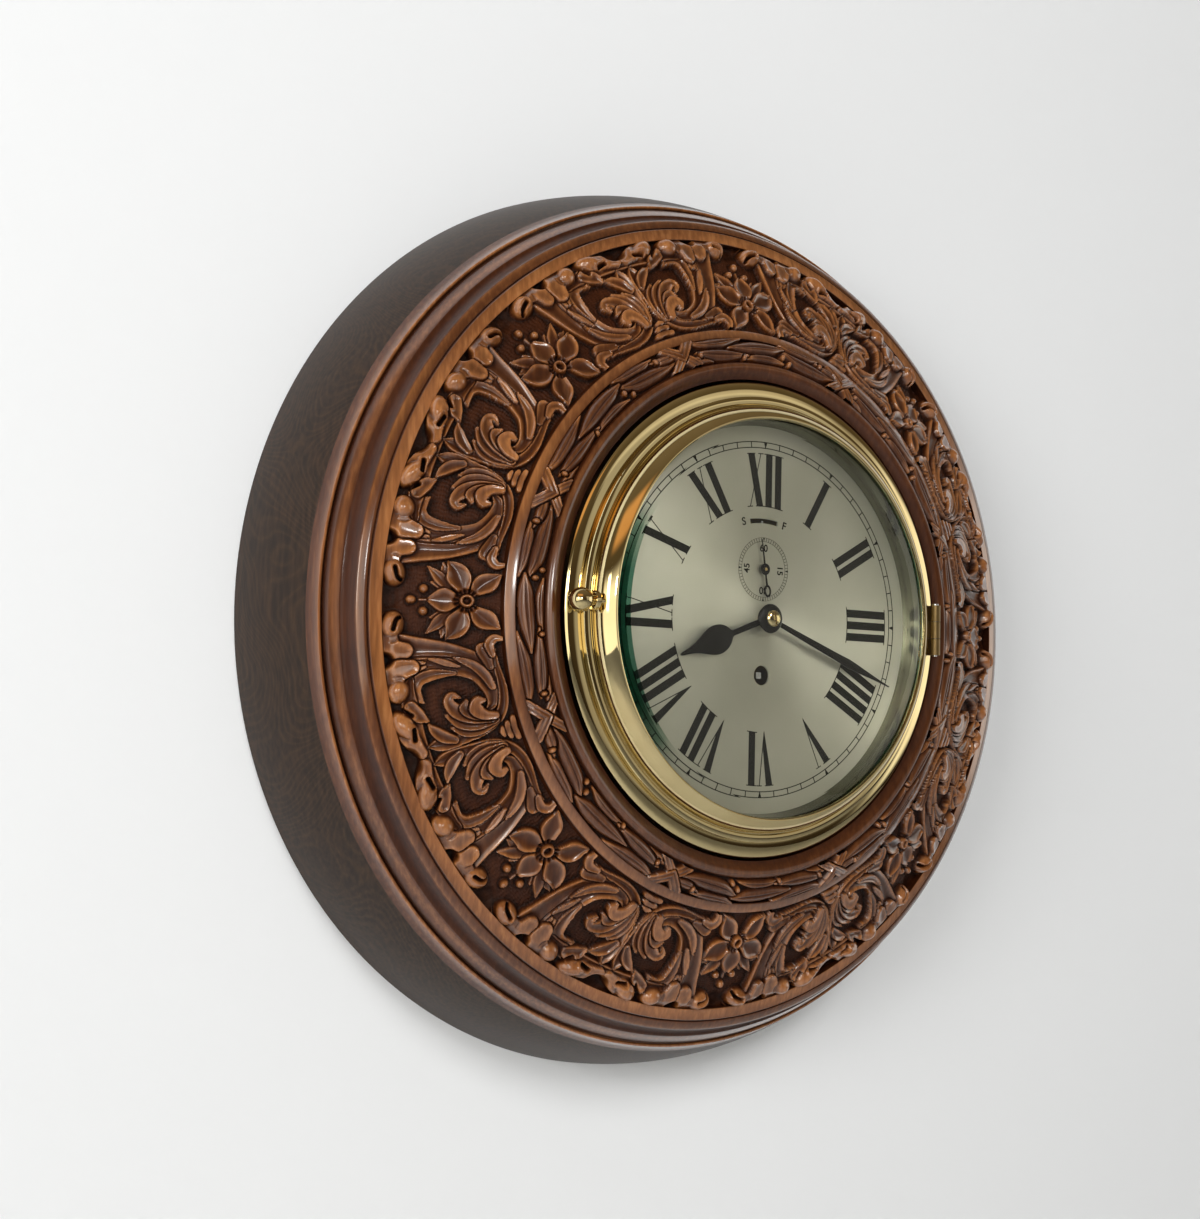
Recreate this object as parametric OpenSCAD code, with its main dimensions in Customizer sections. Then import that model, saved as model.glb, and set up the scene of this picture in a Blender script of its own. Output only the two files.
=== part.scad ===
/* [Case] */
// Diameter of the drum where it meets the wall
drum_back_d = 499; // [480:1:520]
// Diameter of the drum at its front rim
drum_front_d = 463; // [455:1:470]
// Depth of the drum from the wall to its front rim
drum_depth = 58; // [50:1:66]
// Thickness of the drum's wooden wall
drum_wall = 14; // [10:1:18]
// How far the drum's side swells beyond a straight line
drum_swell = 3; // [1:0.5:5]
// Thickness of the back board
board_t = 8; // [6:1:12]
// Thickness of the brass hanger plate
hanger_t = 2; // [1.5:0.5:3]
// Height of the hanger plate's centre above the dial's centre
hanger_up = 178; // [160:1:190]
// Width of the keyhole slot in the hanger plate
keyhole_slot = 6; // [5:0.5:8]
// Diameter of the keyhole's round entry
keyhole_d = 13; // [11:0.5:15]

/* [Carved surround] */
// Rise of the carved surround from the drum's rim to the dial opening
surround_rise = 57; // [50:1:62]
// Width of the turned moulding between the drum's rim and the carved field
moulding_w = 23.5; // [20:0.5:27]
// Depth of the field's ground below its edges
ground_depth = 3.2; // [2:0.2:5]
// How far the carved leaves stand above the field's edges
leaf_rise = 1.2; // [0.5:0.1:2]
// Width of the plain fillet between the field and the laurel band
fillet_w = 4.8; // [4:0.2:6]
// Width of the laurel band
laurel_w = 13.7; // [12:0.1:15]
// Width of the plain ring between the laurel band and the rebate
plain_ring_w = 8.5; // [7:0.5:10]
// Gap between the brass flange and the rebate that holds it
rebate_gap = 2; // [1:0.5:3]
// Number of flowers round the surround
flower_count = 8; // [4:1:12]
// How far the outer lobes stand above the field's edges
lobe_rise = 5; // [3:0.5:7]

/* [Brass bowl and bezel] */
// Outer diameter of the fixed brass flange
flange_d = 251; // [246:1:252]
// Thickness of the fixed brass flange
flange_t = 2; // [1.5:0.5:3]
// Inner diameter of the brass bowl
bowl_d = 213; // [212:1:215]
// Thickness of the bowl's wall
bowl_wall = 2; // [1.5:0.5:2.5]
// Outer diameter of the hinged bezel ring at its foot
bezel_foot_d = 234.8; // [233:0.2:236]
// Diameter of the bezel ring's lip round the glass
bezel_lip_d = 210; // [208:0.5:212]
// Height of the bezel ring's lip above its foot
bezel_rise = 13.7; // [12:0.1:16]
// Thickness of the glass
glass_t = 5; // [4:0.5:6]
// Width of the bevel ground on the glass
glass_bevel = 9; // [6:0.5:12]
// Inner diameter of the reflector ring at the dial
reflector_d = 203.2; // [202:0.2:204]
// Diameter of the ball knob
knob_d = 12; // [10:0.5:13]
// Diameter of the milled collar under the knob
collar_d = 9.8; // [8:0.2:11]
// Diameter of the hinge pin
hinge_pin_d = 2.4; // [2:0.2:3]
// Length of the hinge along its pin
hinge_len = 28; // [22:1:34]

/* [Dial and hands] */
// Diameter of the dial plate
dial_d = 211; // [209:0.5:212]
// Thickness of the dial plate
dial_t = 1.2; // [1:0.1:2]
// Outer diameter of the minute track
minute_track_d = 188.4; // [186:0.2:190]
// Width of the minute track
minute_track_w = 3.6; // [3:0.1:4.5]
// Outer diameter of the ring of numerals
numeral_outer_d = 176; // [172:1:178]
// Height of the numerals
numeral_h = 28.4; // [26:0.2:30]
// Width of the numerals' thick strokes
numeral_stroke = 4.3; // [3.5:0.1:5]
// Height of the seconds dial's centre above the dial's centre
seconds_up = 26.3; // [25.5:0.1:27]
// Outer diameter of the seconds track
seconds_track_d = 33.8; // [31:0.2:35]
// Depth of the wax in the engraving, standing proud of the dial
wax_t = 0.1; // [0.05:0.05:0.2]
// Diameter of the winding hole
winding_hole_d = 10.5; // [9:0.5:12]
// Length of the slow and fast slot
slot_len = 19; // [16:0.5:22]
// Width of the slow and fast slot
slot_w = 2.5; // [2:0.1:3]
// Height of the slot above the dial's centre
slot_up = 52; // [51:0.5:53]
// Length of the minute hand from its centre to its tip
minute_hand_len = 92.5; // [88:0.5:94]
// Length of the hour hand from its centre to its tip
hour_hand_len = 60; // [56:0.5:62]
// Widest part of the hour hand
hour_hand_w = 15; // [12:0.5:17]
// Thickness of the hands
hand_t = 0.8; // [0.6:0.1:1]
// Hours shown at rest
shown_hour = 8; // [1:1:12]
// Minutes shown at rest
shown_minute = 18.5; // [0:0.5:59.5]
// Seconds shown at rest
shown_second = 58.5; // [0:0.5:59.5]

/* [Movement] */
// Width of the movement plates
plate_w = 80; // [78:1:90]
// Height of the movement plates
plate_h = 132; // [130:1:140]
// Thickness of the movement plates
plate_t = 3; // [2.5:0.5:4]
// Gap between the movement plates
plate_gap = 35; // [35:1:38]
// Distance from the centre arbor down to the barrel
barrel_down = 29.8; // [29:0.1:31]
// Outer diameter of the mainspring barrel
barrel_d = 46; // [42:1:47]
// Teeth of the great wheel
great_teeth = 96; // [96:1:96]
// Teeth of the centre pinion
centre_pinion_teeth = 12; // [12:1:12]
// Thickness of the train wheels
wheel_t = 1.6; // [1.2:0.1:2]
// Play at each side of a gear tooth
tooth_play = 0.12; // [0.1:0.01:0.2]
// Running clearance of a pivot in its hole
pivot_play = 0.05; // [0.03:0.01:0.08]
// Gap kept between pieces that turn past each other
run_gap = 0.4; // [0.3:0.1:0.6]

/* [Hidden] */
$fn = 96;

dark_wood = [0.20, 0.16, 0.14];
red_wood = [0.45, 0.24, 0.13];
pale_wood = [0.62, 0.47, 0.31];
brass = [0.80, 0.64, 0.30];
silvered = [0.78, 0.77, 0.70];
steel = [0.62, 0.63, 0.65];
blacked = [0.06, 0.06, 0.06];
glass_tint = [0.55, 0.68, 0.62, 0.35];

// Levels are heights above the wall, so the dial's front is at dial_z
rim_z = drum_depth;
wood_front_z = rim_z + surround_rise;
flange_z = wood_front_z - flange_t;
seat_z = wood_front_z;
dial_z = seat_z - 3;
foot_z = seat_z + 0.3;
lip_z = seat_z + bezel_rise;
drum_back_r = drum_back_d / 2;
drum_front_r = drum_front_d / 2;
field_outer_r = drum_front_r - moulding_w;
rebate_r = flange_d / 2 + rebate_gap;
laurel_inner_r = rebate_r + plain_ring_w;
laurel_outer_r = laurel_inner_r + laurel_w;
field_inner_r = laurel_outer_r + fillet_w;
bowl_r = bowl_d / 2;
bowl_outer_r = bowl_r + bowl_wall;
wood_bore_r = bowl_outer_r + 0.5;
dial_r = dial_d / 2;
ledge_r = dial_r - 7;

// Stands the clock up: x stays right, y becomes up and z comes out of the wall towards the viewer
module face() rotate([90, 0, 0]) children();
module at(x, y, z) translate([x, y, z]) children();
module rod(r, z0, z1, sides = 48) translate([0, 0, z0]) cylinder(r = r, h = z1 - z0, $fn = sides);
module slab(z0, z1) translate([0, 0, z0]) linear_extrude(z1 - z0) children();
module ring(r_in, r_out, z0, z1) slab(z0, z1) difference() { circle(r_out, $fn = 180); circle(r_in, $fn = 180); }
module around(count, r, start = 0)
  for (i = [0 : count - 1]) rotate([0, 0, start + i * 360 / count]) translate([r, 0, 0]) children();

// Points between two ends that bow sideways by a given rise
function bowed(a, b, rise, steps) =
  [for (i = [0 : steps]) let (t = i / steps, d = b - a, n = [d[1], -d[0]] / norm(d))
    a + d * t + n * rise * 4 * t * (1 - t)];

// A countersunk wood screw with a slot, its head's face at z = 0 and its point below
module wood_screw(head_r, shank_r, length) difference() {
  union() {
    translate([0, 0, -head_r * 0.6]) cylinder(r1 = shank_r, r2 = head_r, h = head_r * 0.6, $fn = 32);
    rod(shank_r, -length, -head_r * 0.6, 24);
  }
  translate([-head_r, -head_r * 0.12, -head_r * 0.25]) cube([2 * head_r, head_r * 0.24, head_r]);
}
// The hole that such a screw fills
module screw_seat(head_r, shank_r, length) {
  translate([0, 0, -head_r * 0.6]) cylinder(r1 = shank_r, r2 = head_r, h = head_r * 0.6, $fn = 32);
  rod(shank_r, -length, -head_r * 0.6 + 0.01, 24);
  rod(head_r, 0, 1, 32);
}

/* Gears: a wheel's points, one trapezoid tooth after another */
function gear_points(teeth, size, turned = 0) =
  let (pitch_r = teeth * size / 2, root_r = pitch_r - size * 1.2, tip_r = pitch_r + size * 0.85,
    half = 90 / teeth - tooth_play / pitch_r * 57.3, root_half = half * 1.5, tip_half = half * 0.45)
  [for (i = [0 : teeth - 1]) let (a = turned + i * 360 / teeth)
    for (p = [[root_r, -root_half], [tip_r, -tip_half], [tip_r, tip_half], [root_r, root_half]])
      [p[0] * cos(a + p[1]), p[0] * sin(a + p[1])]];
module gear(teeth, size, z0, z1, turned = 0) slab(z0, z1) polygon(gear_points(teeth, size, turned));
// A wheel with its web cut away between spokes
module crossed_gear(teeth, size, z0, z1, turned, hub_r, spokes, bore_r) {
  rim_r = teeth * size / 2 - size * 1.2 - 1.6;
  slab(z0, z1) difference() {
    polygon(gear_points(teeth, size, turned));
    difference() {
      circle(rim_r, $fn = 90);
      circle(hub_r, $fn = 48);
      for (i = [0 : spokes - 1]) rotate(i * 360 / spokes + 20) translate([0, -0.9]) square([rim_r + 1, 1.8]);
    }
    circle(bore_r, $fn = 48);
  }
}

/* Levels and places of the movement */
motion_room = 25;
plate_front_z = dial_z - motion_room;
front_plate_z = plate_front_z - plate_t;
back_plate_z = front_plate_z - plate_gap - plate_t;
inside_z = back_plate_z + plate_t;
pivot_r = 1.1;
arbor_r = 1.8;
great_size = 2 * barrel_down / (great_teeth + centre_pinion_teeth);
centre_teeth = 80;
third_pinion_teeth = 10;
centre_size = 0.5;
third_teeth = 75;
fourth_pinion_teeth = 10;
third_size = 0.45;
fourth_teeth = 80;
escape_pinion_teeth = 8;
fourth_size = 0.4;
cannon_teeth = 12;
minute_wheel_teeth = 36;
minute_pinion_teeth = 10;
hour_teeth = 40;
motion_size = 0.5;
motion_gap = motion_size * (cannon_teeth + minute_wheel_teeth) / 2;
hour_size = 2 * motion_gap / (minute_pinion_teeth + hour_teeth);
centre_reach = centre_size * (centre_teeth + third_pinion_teeth) / 2;
third_reach = third_size * (third_teeth + fourth_pinion_teeth) / 2;
third_y = (centre_reach * centre_reach - third_reach * third_reach + seconds_up * seconds_up) / (2 * seconds_up);
third_x = sqrt(centre_reach * centre_reach - third_y * third_y);
third_at = [third_x, third_y];
seconds_at = [0, seconds_up];
barrel_at = [0, -barrel_down];
minute_wheel_at = [0, -motion_gap];
escape_reach = fourth_size * (fourth_teeth + escape_pinion_teeth) / 2;
escape_angle = 149.7;
escape_at = seconds_at + escape_reach * [cos(escape_angle), sin(escape_angle)];
balance_at = [0, slot_up - 14];
lever_at = escape_at + (balance_at - escape_at) * 0.47;
pillar_x = plate_w / 2 - 6;
pillar_y = plate_h / 2 - 6;
platform_z = plate_front_z + 7;
foot_x = plate_w / 2 - 11;
foot_y = plate_h / 2 - 19;
balance_r = 8.6;

// A shaft between the plates with a pivot in each plate
module plate_arbor(r, z0 = inside_z + 0.3, z1 = front_plate_z - 0.3) {
  rod(r, z0, z1);
  rod(pivot_r, back_plate_z + 0.4, z0);
  rod(pivot_r, z1, plate_front_z - 0.4);
}
module pivot_holes(places) for (p = places) translate([p[0], p[1]]) circle(pivot_r + pivot_play, $fn = 48);
module rounded_plate(z0, z1) slab(z0, z1) union() {
  square([plate_w - 8, plate_h], center = true);
  square([plate_w, plate_h - 8], center = true);
  for (x = [-1, 1], y = [-1, 1]) translate([x * (plate_w / 2 - 4), y * (plate_h / 2 - 4)]) circle(4, $fn = 32);
}

/* Wooden case */
board_r = drum_back_r - drum_wall + 5.7;
board_screw_r = board_r - 2.6;
board_screw_len = board_t + 8;
keyhole_drop = 14;
hanger_w = 44;
hanger_h = 60;
module case_drum() color(dark_wood) face() difference() {
  rotate_extrude($fn = 180) polygon(concat(
    bowed([drum_back_r, 0], [drum_front_r, rim_z], drum_swell, 12),
    bowed([drum_front_r - drum_wall, rim_z], [drum_back_r - drum_wall, board_t], -drum_swell, 12),
    [[board_r + 0.3, board_t], [board_r + 0.3, 0]]));
  around(6, board_screw_r, 30) rod(1.55, 0, board_screw_len + 0.5, 24);
}
module back_board() color(pale_wood) face() difference() {
  slab(0, board_t) circle(board_r, $fn = 180);
  at(0, hanger_up, 0) slab(-1, hanger_t + 0.3) square([hanger_w + 0.6, hanger_h + 0.6], center = true);
  at(0, hanger_up - keyhole_drop, 0) rod(keyhole_d / 2 + 2, -1, board_t + 1);
  at(0, hanger_up - keyhole_drop, 0) slab(-1, board_t + 1)
    translate([-keyhole_d / 2 - 1, 0]) square([keyhole_d + 2, keyhole_drop + 8]);
  around(6, board_screw_r, 30) mirror([0, 0, 1]) screw_seat(3, 1.55, board_t + 1);
  at(0, hanger_up, 0) hanger_corners() rod(1.55, -1, board_t - 0.8, 24);
}
module hanger_corners() for (x = [-1, 1], y = [-1, 1])
  at(x * (hanger_w / 2 - 6), y * (hanger_h / 2 - 6), 0) children();
module hanger_plate() color(brass) face() at(0, hanger_up, 0.3) difference() {
  slab(0, hanger_t) square([hanger_w, hanger_h], center = true);
  at(0, -keyhole_drop, 0) rod(keyhole_d / 2, -1, hanger_t + 1, 64);
  slab(-1, hanger_t + 1) translate([-keyhole_slot / 2, -keyhole_drop]) square([keyhole_slot, keyhole_drop]);
  rod(keyhole_slot / 2, -1, hanger_t + 1, 64);
  hanger_corners() mirror([0, 0, 1]) screw_seat(3, 1.55, hanger_t + 1);
}
module hanger_screws() color(brass) face() at(0, hanger_up, 0.4)
  hanger_corners() mirror([0, 0, 1]) wood_screw(2.9, 1.45, board_t - 2);
module board_screws() color(brass) face()
  around(6, board_screw_r, 30) at(0, 0, 0.1) mirror([0, 0, 1]) wood_screw(2.9, 1.45, board_screw_len);

/* Carved surround: the moulding's section, then what is carved on its field and on the laurel band */
cove_z = rim_z + 8.6;
fillet_r = field_outer_r + 12;
bead_z = rim_z + 12.6;
shelf_z = rim_z + 19.6;
field_outer_z = rim_z + 20.5;
field_inner_z = wood_front_z - 10.4;
laurel_outer_z = wood_front_z - 8;
laurel_inner_z = wood_front_z - 2;
surround_back_z = wood_front_z - 17;
field_w = field_outer_r - field_inner_r;
function field_z(r) = field_outer_z + (field_inner_z - field_outer_z) * (field_outer_r - r) / field_w;

// The ornament as drawn flat: [degrees from the flower, distance out of the field's inner edge, half width]
drawn_w = 53.6;
drawn_sector = 45;
drawn_arc = 3.1;
half_lines = [
  [[6.7, 45, 4.2], [7.2, 36, 3.3], [8.1, 25, 2.8], [9.6, 15, 2.8], [12.4, 8, 2.5], [16, 6, 1.4]],
  [[10.9, 46, 5.2], [9.8, 37, 3.4], [10.4, 26, 3], [11.9, 16, 3.4], [14.4, 10, 3.6], [17.2, 9, 2.4], [18.1, 12.5, 1]],
  [[21.3, 41, 1.6], [21.6, 30, 2.1], [21.5, 17, 1.8], [20.3, 8.5, 2.2], [17, 3.8, 1.8], [12, 2.8, 1.5], [8, 4.4, 1.6]],
  [[12.2, 41, 1.2], [17, 42.6, 2.6], [21.6, 42.8, 0.9]],
  [[10.6, 7, 1.4], [8, 9.4, 2], [6.9, 6, 1]],
  [[1.5, 17, 1.6], [3.5, 20, 4.4], [6, 25, 0.3]],
  [[1.3, 12, 1.6], [2.9, 8, 4], [4.6, 1.6, 0.3]],
  [[1.8, 23, 1], [3.4, 28, 2.2], [5, 33, 0.4]]];
leaf_line = [[21.2, 11], [21.2, 22], [19.6, 28], [17.6, 29], [14.9, 27.4], [15.2, 23], [16.6, 20], [16, 17],
  [16.2, 13.4], [18.2, 14.6], [19.2, 9.5]];
petal_line = [[0, 18, 1.5], [0, 24.5, 4.2], [0, 32.5, 0.3]];
lobe_places = [[3.7, 6.2], [12.9, 6.4], [17.8, 7]];
flower_up = 15;
function on_paper(p) = [p[0] * drawn_arc, p[1]];
function beside(line, i, side) =
  let (a = on_paper(line[max(i - 1, 0)]), b = on_paper(line[min(i + 1, len(line) - 1)]), d = (b - a) / norm(b - a))
  on_paper(line[i]) + side * line[i][2] * [d[1], -d[0]];
function band(line) = let (last = len(line) - 1)
  concat([for (i = [0 : last]) beside(line, i, 1)], [for (i = [last : -1 : 0]) beside(line, i, -1)]);
function on_field(p, side) = let (r = field_inner_r + p[1] * field_w / drawn_w,
  a = side * p[0] / drawn_arc * 360 / flower_count / drawn_sector) r * [cos(a), sin(a)];
module laid(points, side) polygon([for (p = points) on_field(p, side)]);
module field_ornament() around(flower_count, 0) {
  for (side = [-1, 1]) {
    for (line = half_lines) laid(band(line), side);
    laid([for (p = leaf_line) on_paper(p)], side);
  }
  laid(band(petal_line), 1);
}
// Laurel leaves lie along the band, three deep, and crossed ribbons tie them between the flowers
leaf_places = [[-19.2, 0.78], [-12.8, 0.5], [-6.4, 0.24], [0, 0.76], [6.4, 0.5], [12.8, 0.26], [18.6, 0.72]];
leaf_half = 5.2;
leaf_half_w = 3.2;
ribbon_half = 1.8;
function on_laurel(deg, share) = let (r = laurel_inner_r + share * laurel_w, a = deg * 360 / flower_count / drawn_sector)
  r * [cos(a), sin(a)];
module laurel_ornament() around(flower_count, 0) {
  for (p = leaf_places) let (w = leaf_half_w / laurel_w)
    polygon([on_laurel(p[0] - leaf_half, p[1]), on_laurel(p[0] - 2, p[1] - w), on_laurel(p[0] + 2, p[1] - w),
      on_laurel(p[0] + leaf_half, p[1]), on_laurel(p[0] + 2, p[1] + w), on_laurel(p[0] - 2, p[1] + w)]);
  for (side = [-1, 1]) let (a = drawn_sector / 2 - side * 3.4, b = drawn_sector / 2 + side * 3.4, w = ribbon_half / 2.5)
    polygon([on_laurel(a - w, 0.02), on_laurel(a + w, 0.02), on_laurel(b + w, 0.98), on_laurel(b - w, 0.98)]);
}
module lobe(r, size, rise) translate([r, 0, field_z(r) + rise - size]) sphere(r = size, $fn = 40);
module carved_surround() color(red_wood) face() {
  difference() {
    rotate_extrude($fn = 180) polygon(concat(
      bowed([drum_front_r - 3, rim_z], [drum_front_r - 4.8, cove_z], 2.4, 6),
      bowed([drum_front_r - 7.6, cove_z], [fillet_r, bead_z], -1, 4),
      [[fillet_r - 0.3, bead_z + 4.4], [fillet_r - 4.6, shelf_z], [fillet_r - 5.6, shelf_z + 0.5],
       [field_outer_r, field_outer_z + 1.4], [field_outer_r, field_outer_z - ground_depth],
       [field_inner_r, field_inner_z - ground_depth], [field_inner_r, field_inner_z],
       [laurel_outer_r + 0.4, laurel_outer_z], [laurel_outer_r, laurel_outer_z - 2.6]],
      bowed([laurel_outer_r, laurel_outer_z - 2.2], [laurel_inner_r, laurel_inner_z - 2.6], 1.6, 8),
      [[laurel_inner_r, laurel_inner_z - 0.4], [laurel_inner_r - 1.8, wood_front_z - 0.8],
       [laurel_inner_r - 6, wood_front_z], [rebate_r, wood_front_z], [rebate_r, flange_z], [wood_bore_r, flange_z],
       [wood_bore_r, surround_back_z], [laurel_inner_r, surround_back_z], [field_outer_r - 3, rim_z + 5],
       [drum_front_r - drum_wall, rim_z]]));
    around(4, bowl_screw_r, 45) rod(1.5, flange_z - bowl_screw_len - 0.3, flange_z + 1, 24);
  }
  intersection() {
    slab(rim_z + 10, wood_front_z + 5) field_ornament();
    rotate_extrude($fn = 180) polygon([[field_outer_r - 0.5, field_outer_z - ground_depth - 1],
      [field_outer_r - 0.5, field_outer_z + leaf_rise], [field_inner_r + 0.5, field_inner_z + leaf_rise],
      [field_inner_r + 0.5, field_inner_z - ground_depth - 1]]);
  }
  intersection() {
    slab(rim_z + 10, wood_front_z + 5) laurel_ornament();
    rotate_extrude($fn = 180) polygon(concat(
      [[laurel_outer_r - 0.2, laurel_outer_z - 4]],
      bowed([laurel_outer_r - 0.2, laurel_outer_z + 0.2], [laurel_inner_r + 0.2, laurel_inner_z + 0.2], 1.6, 8),
      [[laurel_inner_r + 0.2, laurel_inner_z - 4]]));
  }
  around(flower_count, 0) {
    for (side = [-1, 1], p = lobe_places) rotate([0, 0, side * p[0] * 360 / flower_count / drawn_sector])
      lobe(field_outer_r - p[1], p[1], lobe_rise);
    lobe(field_inner_r + flower_up * field_w / drawn_w, 3, leaf_rise);
  }
}

/* Brass bowl with its fixed flange */
bowl_screw_r = wood_bore_r + 3;
bowl_screw_len = 10;
bowl_back_z = dial_z - dial_t - 2;
module brass_bowl() color(brass) face() difference() {
  union() {
    ring(bowl_r, flange_d / 2, flange_z, seat_z);
    ring(bowl_r, bowl_outer_r, bowl_back_z, seat_z);
    ring(ledge_r, bowl_outer_r, bowl_back_z, dial_z - dial_t);
  }
  around(4, bowl_screw_r, 45) at(0, 0, seat_z) screw_seat(2.4, 1.3, 6);
  around(4, dial_screw_r, 45) rod(0.85, bowl_back_z - 1, seat_z, 24);
}
module bowl_screws() color(brass) face()
  around(4, bowl_screw_r, 45) at(0, 0, seat_z - 0.05) wood_screw(2.3, 1.2, bowl_screw_len);

/* Hinged bezel: ring, glass and what holds it. The section runs from the foot over the ridge to the lip */
foot_r = bezel_foot_d / 2;
lip_r = bezel_lip_d / 2;
bezel_inner_r = bowl_r + 0.4;
glass_seat_r = lip_r + 0.9;
glass_r = glass_seat_r - 0.3;
glass_back_z = lip_z - glass_t - 0.4;
glass_edge_t = glass_t * 0.65;
glass_front_z = glass_back_z + glass_t;
ridge_z = foot_z + 3.2;
module bezel_ring() color(brass) difference() {
  face() rotate_extrude($fn = 240) polygon(concat(
    [[bezel_inner_r, foot_z], [foot_r - 7.8, foot_z], [foot_r - 7.2, foot_z + 1.4], [foot_r - 2.8, foot_z + 1.4],
     [foot_r - 2.2, foot_z], [foot_r, foot_z], [foot_r, ridge_z - 0.5], [foot_r - 0.5, ridge_z],
     [foot_r - 3.4, ridge_z + 0.2], [foot_r - 3.9, ridge_z - 0.3], [foot_r - 4.7, ridge_z - 0.3]],
    bowed([foot_r - 4.8, ridge_z + 0.1], [lip_r + 0.6, lip_z], 1.9, 14),
    [[lip_r, lip_z], [lip_r - 0.8, lip_z - 0.8], [lip_r - 0.8, glass_back_z + glass_edge_t + 0.45],
     [glass_seat_r, glass_back_z + glass_edge_t + 0.45], [glass_seat_r, glass_back_z - 0.1],
     [bezel_inner_r, glass_back_z - 0.1]]));
  on_knob_axis() rod(knob_shank_r + 0.1, knob_root_r - 3.4, foot_r, 32);
}
module bevelled_glass() color(glass_tint) face() rotate_extrude($fn = 240) polygon([
  [0, glass_back_z], [glass_r, glass_back_z], [glass_r, glass_back_z + glass_edge_t],
  [glass_r - glass_bevel, glass_front_z], [0, glass_front_z]]);
reflector_r = reflector_d / 2;
reflector_wall = 0.9;
reflector_flare = 2.2;
module reflector_ring() color(silvered) face() rotate_extrude($fn = 240) polygon([
  [reflector_r, dial_z + run_gap], [reflector_r + reflector_wall, dial_z + run_gap],
  [reflector_r + reflector_wall + reflector_flare, glass_back_z - 1], [glass_r - 0.3, glass_back_z - 1],
  [glass_r - 0.3, glass_back_z - 0.1], [reflector_r + reflector_flare, glass_back_z - 0.1]]);
module glass_retaining_ring() color(brass) face() ring(reflector_r + reflector_wall + reflector_flare + 0.3,
  bezel_inner_r - 0.1, glass_back_z - 3, glass_back_z - 1.1);

/* Ball knob, screwed radially into the bezel's left side, and the spring catch that holds the door shut */
knob_up = 2.4;
knob_z = foot_z + 8.7;
knob_root_r = foot_r - 6.2;
knob_shank_r = 1.45;
collar_x = foot_r - 0.5;
collar_t = 3.2;
knob_x = collar_x + knob_d / 2 + 0.4;
module on_knob_axis() face() at(0, knob_up, knob_z) rotate([0, -90, 0]) children();
module door_knob() color(brass) on_knob_axis() {
  at(0, 0, knob_x) sphere(r = knob_d / 2, $fn = 64);
  rod(2.2, collar_x - collar_t, knob_x - knob_d / 2 + 1, 32);
  rod(knob_shank_r, knob_root_r - 3, collar_x - collar_t + 0.1, 32);
}
module knob_collar() color(brass) on_knob_axis() slab(collar_x - collar_t + 0.2, collar_x) difference() {
  circle(collar_d / 2, $fn = 64);
  for (i = [0 : 23]) rotate(i * 15) translate([collar_d / 2 + 0.1, 0]) circle(0.35, $fn = 16);
  circle(2.25, $fn = 48);
}
module catch_spring() color(brass) face() at(-(foot_r - 5), 0, seat_z) slab(0, 1) union() {
  translate([-1.6, -6]) square([0.4, 12]);
  translate([-1.6, -6]) square([3.2, 0.4]);
}

/* Hinge at the right of the bezel, its pin upright */
hinge_x = foot_r + 4.1;
hinge_z = foot_z + 4.3;
knuckle_r = 2.9;
leaf_t = 1.2;
moving_half = 4.6;
module on_hinge(y0, y1) face() at(hinge_x, y0, hinge_z) rotate([-90, 0, 0]) linear_extrude(y1 - y0) children();
module hinge_bore() on_hinge(-hinge_len, hinge_len) circle(hinge_pin_d / 2 + pivot_play, $fn = 48);
module hinge_fixed_leaf() color(brass) difference() {
  union() {
    face() at(foot_r + 0.8, -hinge_len / 2, seat_z) cube([6.8, hinge_len, leaf_t]);
    for (side = [-1, 1]) {
      on_hinge(side > 0 ? moving_half + 0.3 : -hinge_len / 2, side > 0 ? hinge_len / 2 : -moving_half - 0.3)
        circle(knuckle_r, $fn = 64);
      face() at(hinge_x - 1.4, side > 0 ? moving_half + 0.3 : -hinge_len / 2, seat_z + leaf_t - 0.1)
        cube([2.8, hinge_len / 2 - moving_half - 0.3, hinge_z - seat_z - leaf_t - 1.5]);
    }
  }
  hinge_bore();
}
module hinge_moving_leaf() color(brass) difference() {
  union() {
    on_hinge(-moving_half, moving_half) circle(knuckle_r, $fn = 64);
    face() at(foot_r - 1, -moving_half, foot_z + 1.2) cube([hinge_x - foot_r + 1, 2 * moving_half, 1.8]);
  }
  face() rod(foot_r + 0.02, foot_z - 1, lip_z, 240);
  hinge_bore();
}
module hinge_pin() color(steel) {
  on_hinge(-hinge_len / 2 - 0.8, hinge_len / 2 + 0.3) circle(hinge_pin_d / 2, $fn = 48);
  on_hinge(hinge_len / 2 + 0.05, hinge_len / 2 + 0.9) circle(hinge_pin_d / 2 + 0.6, $fn = 48);
}

/* Dial */
dial_screw_r = reflector_r + 2;
slot_half_angle = slot_len / slot_up * 57.3 / 2;
module dial_plate() color(silvered) face() difference() {
  rod(dial_r, dial_z - dial_t, dial_z, 240);
  rod(hour_pipe_r + run_gap, 0, lip_z);
  at(0, seconds_up, 0) rod(1.6, 0, lip_z);
  at(0, -barrel_down, 0) rod(winding_hole_d / 2, 0, lip_z);
  slab(0, lip_z) polygon(concat(
    [for (i = [0 : 12]) let (a = 90 - slot_half_angle + slot_half_angle * i / 6)
      (slot_up + slot_w / 2) * [cos(a), sin(a)]],
    [for (i = [12 : -1 : 0]) let (a = 90 - slot_half_angle + slot_half_angle * i / 6)
      (slot_up - slot_w / 2) * [cos(a), sin(a)]]));
  around(4, dial_screw_r, 45) at(0, 0, dial_z) screw_seat(1.4, 0.85, 4);
}
module dial_screws() color(steel) face()
  around(4, dial_screw_r, 45) at(0, 0, dial_z - 0.05) wood_screw(1.35, 0.8, dial_t + 2.5);
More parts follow.
